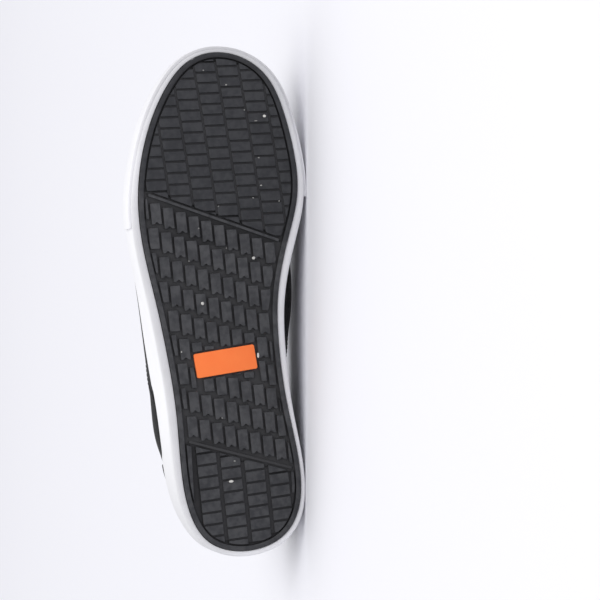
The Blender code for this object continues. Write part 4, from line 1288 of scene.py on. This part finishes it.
counter_end = float(heel_to_toe_angle(COUNTER_END))
counter_angles = np.linspace(-counter_end, counter_end, COUNTER_COLUMNS)
counter_top = COUNTER_HIGH - COUNTER_DROP * (counter_angles / counter_end) ** 2
counter_share = np.linspace(0, 1, COUNTER_ROWS)
counter_rows = COUNTER_LOW + (counter_top[None, :] - COUNTER_LOW) * counter_share[:, None]
counter_grid = np.broadcast_to(counter_angles, counter_rows.shape)
across_share = np.broadcast_to(np.linspace(0, 1, COUNTER_COLUMNS), counter_rows.shape)
edge_share = np.minimum(1 - counter_share[:, None], np.minimum(across_share, 1 - across_share))
turned_in = 1 - np.clip(1 - edge_share / COUNTER_ROUND, 0, 1) ** 3
counter_depth = COUNTER_THICK * (COUNTER_EDGE + (1 - COUNTER_EDGE) * turned_in)
counter_out = upper_offset(counter_grid, counter_rows, FIT_GAP + counter_depth)
counter_in = upper_offset(counter_grid, counter_rows, COUNTER_BACK)
counter_weave = np.stack([counter_grid * COUNTER_RADIUS, counter_out[..., 2]], axis=-1)
counter_mesh = shell_mesh("heel counter", counter_out, counter_in, [counter_weave])
overlay_colours = (0.011, 0.011, 0.012, 1), (0.021, 0.021, 0.023, 1)
overlay = cloth("black overlay", *overlay_colours, OVERLAY_PITCH, OVERLAY_RELIEF)
lay_piece("heel_counter_overlay", counter_mesh, overlay, "black_overlay", "heel_counter")

# Gores. Panels of ribbed elastic sewn under the edges of the two slots, so that the throat stretches over
# the foot. The rubber cores stand out as cords that run up the panel.
GORE_THICK = 1.6
GORE_FACE = 0.75
GORE_COLUMNS = 19
GORE_ROWS = 25
GORE_INSET = math.radians(0.05)
GORE_ROW_INSET = 0.002
CORD_COUNT = 21
CORD_STEPS = 30
CORD_RADIUS = 0.5
CORD_SIDES = 8
CORD_ROW_INSET = 0.01
CORD_SHARP = 70.0
ELASTIC_PITCH = 0.5
ELASTIC_RELIEF = 0.08

cord_tree, cord_in = new_tree("lay cords", "Radius")
cord_node = partial(add_node, cord_tree)
cord_paths = cord_node("GeometryNodeMeshToCurve", {}, {"Mesh": cord_in["Geometry"]})
sockets = {"Resolution": CORD_SIDES, "Radius": cord_in["Radius"]}
cord_section = cord_node("GeometryNodeCurvePrimitiveCircle", {}, sockets)
sockets = {"Curve": cord_paths, "Profile Curve": cord_section, "Fill Caps": True}
cords_laid = cord_node("GeometryNodeCurveToMesh", {}, sockets)
elastic_colours = (0.014, 0.014, 0.015, 1), (0.026, 0.026, 0.028, 1)
elastic = cloth("ribbed elastic", *elastic_colours, ELASTIC_PITCH, ELASTIC_RELIEF)
end_tree(cord_tree, cords_laid, elastic)


def paths_mesh(name, paths):
    """A mesh of bare edges along rows of points."""
    points = []
    edges = []
    for path in paths:
        edges += [(len(points) + k, len(points) + k + 1) for k in range(len(path) - 1)]
        points += [tuple(point) for point in path]
    mesh = bpy.data.meshes.new(name)
    mesh.from_pydata(points, edges, [])
    return mesh


cord_lines = []
gore_span = np.linspace(GORE_FROM + GORE_INSET, GORE_TO - GORE_INSET, GORE_COLUMNS)
gore_rows = np.linspace(GORE_LOW + GORE_ROW_INSET, TOP_ROW, GORE_ROWS)
cord_rows = np.linspace(GORE_LOW + CORD_ROW_INSET, TOP_ROW - CORD_ROW_INSET, CORD_STEPS)
for side, node in ((1, "gore_lateral"), (-1, "gore_medial")):
    gore_angle, gore_row = np.meshgrid(side * gore_span, gore_rows)
    gore_angle = gore_angle[:, ::side]
    gore_out = upper_offset(gore_angle, gore_row, -GORE_FACE)
    gore_in = upper_offset(gore_angle, gore_row, -GORE_THICK)
    gore_mesh = shell_mesh(node, gore_out, gore_in, [gore_out[..., [0, 2]]])
    lay_piece(node + "_panel", gore_mesh, elastic, "elastic", node)
    for share in (np.arange(CORD_COUNT) + 0.5) / CORD_COUNT:
        cord_angle = side * (GORE_FROM + (GORE_TO - GORE_FROM) * share)
        cord_lines.append(upper_offset(cord_angle, cord_rows, -GORE_FACE))
cords = grown(paths_mesh("cords", cord_lines), cord_tree, {"Radius": CORD_RADIUS}, CORD_SHARP)
lay_piece("gore_cords", cords, elastic, "elastic")

# Collar binding. A strip of padded tape folded over the top edge of the upper and the gores and sewn
# through, so that it makes one soft round edge to the foot opening.
BINDING_HIGH = 4.6
BINDING_WIDE = 4.0
BINDING_SIDES = 16

top_normal, top_up = upper_directions(loop, TOP_ROW)
binding_centre = upper_point(loop, TOP_ROW) - top_normal * UPPER_WALL / 2
binding_centre = binding_centre + top_up * (FIT_GAP + BINDING_HIGH / 2)
binding_sections = []
for side in range(BINDING_SIDES):
    turn = side * FULL_TURN / BINDING_SIDES
    wide = math.cos(turn) * BINDING_WIDE / 2
    high = math.sin(turn) * (BINDING_HIGH / 2 + FIT_GAP)
    binding_sections.append(binding_centre + top_normal * wide + top_up * high)
binding_rings = np.stack(binding_sections, axis=1)
binding_faces = band_faces(LOOP, BINDING_SIDES, True)
binding_mesh = facing_out(mesh_of("collar binding", binding_rings, binding_faces))
binding_mesh.shade_smooth()
binding_tape = Finish("binding tape", {"Specular IOR Level": 0.3, "Sheen Weight": 0.08})
tape_cloud = binding_tape.noise(12.0, 3.0)
tape_grain = binding_tape.noise(0.45, 2.0, (1.0, 1.0, 2.0))
tape_colour = binding_tape.blend(tape_cloud, (0.011, 0.011, 0.012, 1), (0.021, 0.021, 0.023, 1))
binding_tape.feed("Base Color", tape_colour)
binding_tape.feed("Roughness", 0.72 + tape_cloud * 0.15)
binding_tape.relief(tape_grain, 0.09)
lay_piece("collar_tape", binding_mesh, binding_tape, "binding_tape", "collar_binding")

# Stitches. Rows of black thread hold the quarters to the vamp, the elastic in its slots, the overlay on
# the heel and the tape along the collar.
STITCH_PITCH = 2.7
STITCH_LONG = 2.1
THREAD_WIDE = 0.55
THREAD_LIFT = 0.05
BEAD_SIDES = 8
BEAD_RINGS = 6
BEAD_RADIUS = 0.5
LEG_STEPS = 40
SEAM_BACK = (0.75, 1.75)
SEAM_LOW = 1.02
SEAM_CLEAR = 0.02
SEAM_POINTS = 12
SLOT_BACK = math.radians(0.8)
SLOT_AHEAD = math.radians(0.7)
SLOT_TOP = 1.96
SLOT_CLEAR = 0.025
COLLAR_SPANS = ((-88.5, 88.5), (106.5, 253.5))
COLLAR_ROW = 1.945
COLLAR_POINTS = 16
OVERLAY_BELOW = (0.035, 0.085)
OVERLAY_SPOTS = slice(3, -3, 6)
STITCH_SHARP = 80.0

stitch_tree, stitch_in = new_tree("sew stitches", "Pitch", "Long", "Thread")
stitch_node = partial(add_node, stitch_tree)
stitch_paths = stitch_node("GeometryNodeMeshToCurve", {}, {"Mesh": stitch_in["Geometry"]})
sockets = {"Curve": stitch_paths, "Length": stitch_in["Pitch"]}
stitch_spots = stitch_node("GeometryNodeCurveToPoints", {"mode": "LENGTH"}, sockets)
sockets = {"Segments": BEAD_SIDES, "Rings": BEAD_RINGS, "Radius": BEAD_RADIUS}
stitch_bead = stitch_node("GeometryNodeMeshUVSphere", {}, sockets)
sockets = {"X": stitch_in["Thread"], "Y": stitch_in["Thread"], "Z": stitch_in["Long"]}
stitch_size = stitch_node("ShaderNodeCombineXYZ", {}, sockets)
sockets = {"Points": stitch_spots, "Instance": stitch_bead, "Scale": stitch_size}
sockets["Rotation"] = stitch_spots.other("Rotation")
stitches_sewn = stitch_node("GeometryNodeInstanceOnPoints", {}, sockets)
thread = Finish("black thread", {"Specular IOR Level": 0.4})
thread_cloud = thread.noise(3.0)
thread.feed("Base Color", thread.blend(thread_cloud, (0.024, 0.024, 0.026, 1), (0.042, 0.042, 0.045, 1)))
thread.feed("Roughness", 0.5 + thread_cloud * 0.2)
end_tree(stitch_tree, stitches_sewn, thread)


def sewn_path(angles, rows, out):
    """A row of points just above the wall through pairs of angle and row."""
    angles, rows = np.broadcast_arrays(angles, rows)
    leg = np.linspace(0, len(angles) - 1, LEG_STEPS * (len(angles) - 1) + 1)
    places = np.arange(len(angles))
    angle = np.interp(leg, places, angles)
    row = np.interp(leg, places, rows)
    points = upper_point(angle, row)
    normal, _ = upper_directions(angle, row)
    return points + normal * (out - crease_depth(points))[..., None]


seams = []
seam_rows = np.linspace(SEAM_LOW, GORE_LOW - SEAM_CLEAR, SEAM_POINTS)
slot_low = GORE_LOW - SLOT_CLEAR
for side in (1, -1):
    for back in SEAM_BACK:
        seam_line = side * (seam_angle(seam_rows) - math.radians(back))
        seams.append(sewn_path(seam_line, seam_rows, THREAD_LIFT))
    slot_from = side * (GORE_FROM - SLOT_BACK)
    slot_to = side * (GORE_TO + SLOT_AHEAD)
    slot_line = (slot_from, slot_from, slot_to, slot_to)
    seams.append(sewn_path(slot_line, (SLOT_TOP, slot_low, slot_low, SLOT_TOP), THREAD_LIFT))
for start, end in COLLAR_SPANS:
    collar_line = np.radians(np.linspace(start, end, COLLAR_POINTS))
    seams.append(sewn_path(collar_line, COLLAR_ROW, THREAD_LIFT))
overlay_face = FIT_GAP + COUNTER_THICK + THREAD_LIFT
for below in OVERLAY_BELOW:
    overlay_rows = counter_top[OVERLAY_SPOTS] - below
    seams.append(sewn_path(counter_angles[OVERLAY_SPOTS], overlay_rows, overlay_face))
stitch_inputs = {"Pitch": STITCH_PITCH, "Long": STITCH_LONG, "Thread": THREAD_WIDE}
stitches = grown(paths_mesh("stitches", seams), stitch_tree, stitch_inputs, STITCH_SHARP)
lay_piece("stitches", stitches, thread, "binding_tape")

# Lint. Bits of pale fluff that the tread has picked up. Each is a small ball of loose fibre, pressed flat
# and caught on the face of the rubber.
LINT_FUZZ = 0.4
LINT_FLAT = 0.6
LINT_LIFT = 0.3
LINT_SPLITS = 4
LINT_NOISE_SCALE = 1.7
LINT_NOISE_DETAIL = 3.0
LINT_SHARP = 80.0

Lint = namedtuple("Lint", "x y long wide pale")
LINT = (
    Lint(248.8, 25.2, 0.80, 0.85, 1.0),
    Lint(267.8, 4.4, 0.45, 0.45, 0.5),
    Lint(246.2, 20.0, 0.35, 0.90, 0.35),
    Lint(224.8, 20.1, 0.35, 0.50, 0.4),
    Lint(208.8, 20.5, 0.45, 0.50, 0.7),
    Lint(201.8, 15.4, 0.35, 0.40, 0.4),
    Lint(199.3, 30.4, 0.40, 0.40, 0.4),
    Lint(197.8, -5.1, 0.40, 0.35, 0.3),
    Lint(252.8, 13.8, 0.35, 0.35, 0.3),
    Lint(276.8, -8.1, 0.35, 0.40, 0.3),
    Lint(167.3, 13.7, 0.85, 0.85, 0.9),
    Lint(142.8, -17.2, 0.85, 0.85, 1.0),
    Lint(115.8, -30.7, 0.50, 0.45, 0.6),
    Lint(111.3, 13.6, 1.50, 0.60, 1.0),
    Lint(173.8, -1.8, 0.40, 0.35, 0.3),
    Lint(167.3, -23.8, 0.35, 0.40, 0.3),
    Lint(185.8, -17.2, 0.35, 0.35, 0.3),
    Lint(40.3, -6.2, 0.70, 1.35, 1.0),
    Lint(51.8, -3.4, 0.40, 0.60, 0.4),
    Lint(76.8, -9.4, 0.35, 0.35, 0.3),
)

lint_tree, lint_in = new_tree("drop lint", "Fuzz")
lint_node = partial(add_node, lint_tree)
lint_size = named_value(lint_tree, "size", "FLOAT_VECTOR")
lint_ball = lint_node("GeometryNodeMeshIcoSphere", {}, {"Radius": 1.0, "Subdivisions": LINT_SPLITS})
sockets = {"Points": lint_in["Geometry"], "Instance": lint_ball, "Scale": lint_size}
lint_spread = lint_node("GeometryNodeInstanceOnPoints", {}, sockets)
lint_real = lint_node("GeometryNodeRealizeInstances", {}, {"Geometry": lint_spread})
sockets = {"Scale": LINT_NOISE_SCALE, "Detail": LINT_NOISE_DETAIL}
lint_noise = lint_node("ShaderNodeTexNoise", {}, sockets, "Color")
sockets = {0: lint_noise, 1: (0.5, 0.5, 0.5)}
lint_shift = lint_node("ShaderNodeVectorMath", {"operation": "SUBTRACT"}, sockets)
sockets = {0: lint_shift, "Scale": lint_in["Fuzz"] * 2.0}
lint_push = lint_node("ShaderNodeVectorMath", {"operation": "SCALE"}, sockets)
lint_fuzzy = lint_node("GeometryNodeSetPosition", {}, {"Geometry": lint_real, "Offset": lint_push})
fluff = Finish("pale fluff", {"Roughness": 0.95, "Specular IOR Level": 0.1})
fluff_colour = fluff.blend(fluff.attribute("pale", "Fac"), (0.06, 0.06, 0.06, 1), (0.66, 0.65, 0.62, 1))
fluff.feed("Base Color", fluff_colour)
end_tree(lint_tree, lint_fuzzy, fluff)
lint_spots = [(bit.x, bit.y, ground_rise(bit.x) - LINT_LIFT * bit.wide) for bit in LINT]
lint_plan = mesh_of("lint", lint_spots, [])
give_values(lint_plan, "pale", [bit.pale for bit in LINT])
give_values(lint_plan, "size", [(bit.long, bit.wide, LINT_FLAT * bit.wide) for bit in LINT])
lint = grown(lint_plan, lint_tree, {"Fuzz": LINT_FUZZ}, LINT_SHARP)
lay_piece("lint", lint, fluff, "white_rubber")

# Floor and light. A wide pale studio floor under one very large soft light overhead, a softer one from
# the camera's side, and an even pale surround.
FLOOR_RADIUS = 15.0
FLOOR_STEPS = 96
FLOOR_FINISH = {"Base Color": (0.86, 0.86, 0.90, 1), "Roughness": 0.8, "Specular IOR Level": 0.2}
SURROUND = {"Color": (0.97, 0.97, 1.0, 1), "Strength": 0.60}

floor_turn = np.arange(FLOOR_STEPS) * FULL_TURN / FLOOR_STEPS
floor_points = np.column_stack([np.cos(floor_turn), np.sin(floor_turn), 0 * floor_turn]) * FLOOR_RADIUS
floor_mesh = mesh_of("floor", floor_points, [tuple(range(FLOOR_STEPS))])
floor = placed("floor", floor_mesh)
floor_mesh.materials.append(Finish("pale floor", FLOOR_FINISH).material)


def soft_light(name, place, aim, size, watts, colour):
    """A square soft light at a place in metres, turned to an aim point."""
    lamp = bpy.data.lights.new(name, "AREA")
    lamp.size = size
    lamp.energy = watts
    lamp.color = colour
    holder = placed(name, lamp)
    holder.location = place
    holder.rotation_euler = (Vector(aim) - Vector(place)).to_track_quat("-Z", "Y").to_euler()


OVERHEAD = {"place": (0.0, 2.0, 5.0), "aim": (0.0, 2.0, 0.0), "colour": (1.0, 1.0, 1.0)}
CAMERA_SIDE = {"place": (0.7, -2.2, 1.9), "aim": (0.0, 0.0, 0.03), "colour": (1.0, 0.99, 0.98)}
soft_light("overhead", size=9.0, watts=216.0, **OVERHEAD)
soft_light("camera side", size=1.4, watts=23.0, **CAMERA_SIDE)
surround = bpy.data.worlds.new("surround")
surround.use_nodes = True
for socket, value in SURROUND.items():
    surround.node_tree.nodes["Background"].inputs[socket].default_value = value
bpy.context.scene.world = surround
bpy.context.scene.view_settings.view_transform = "Standard"
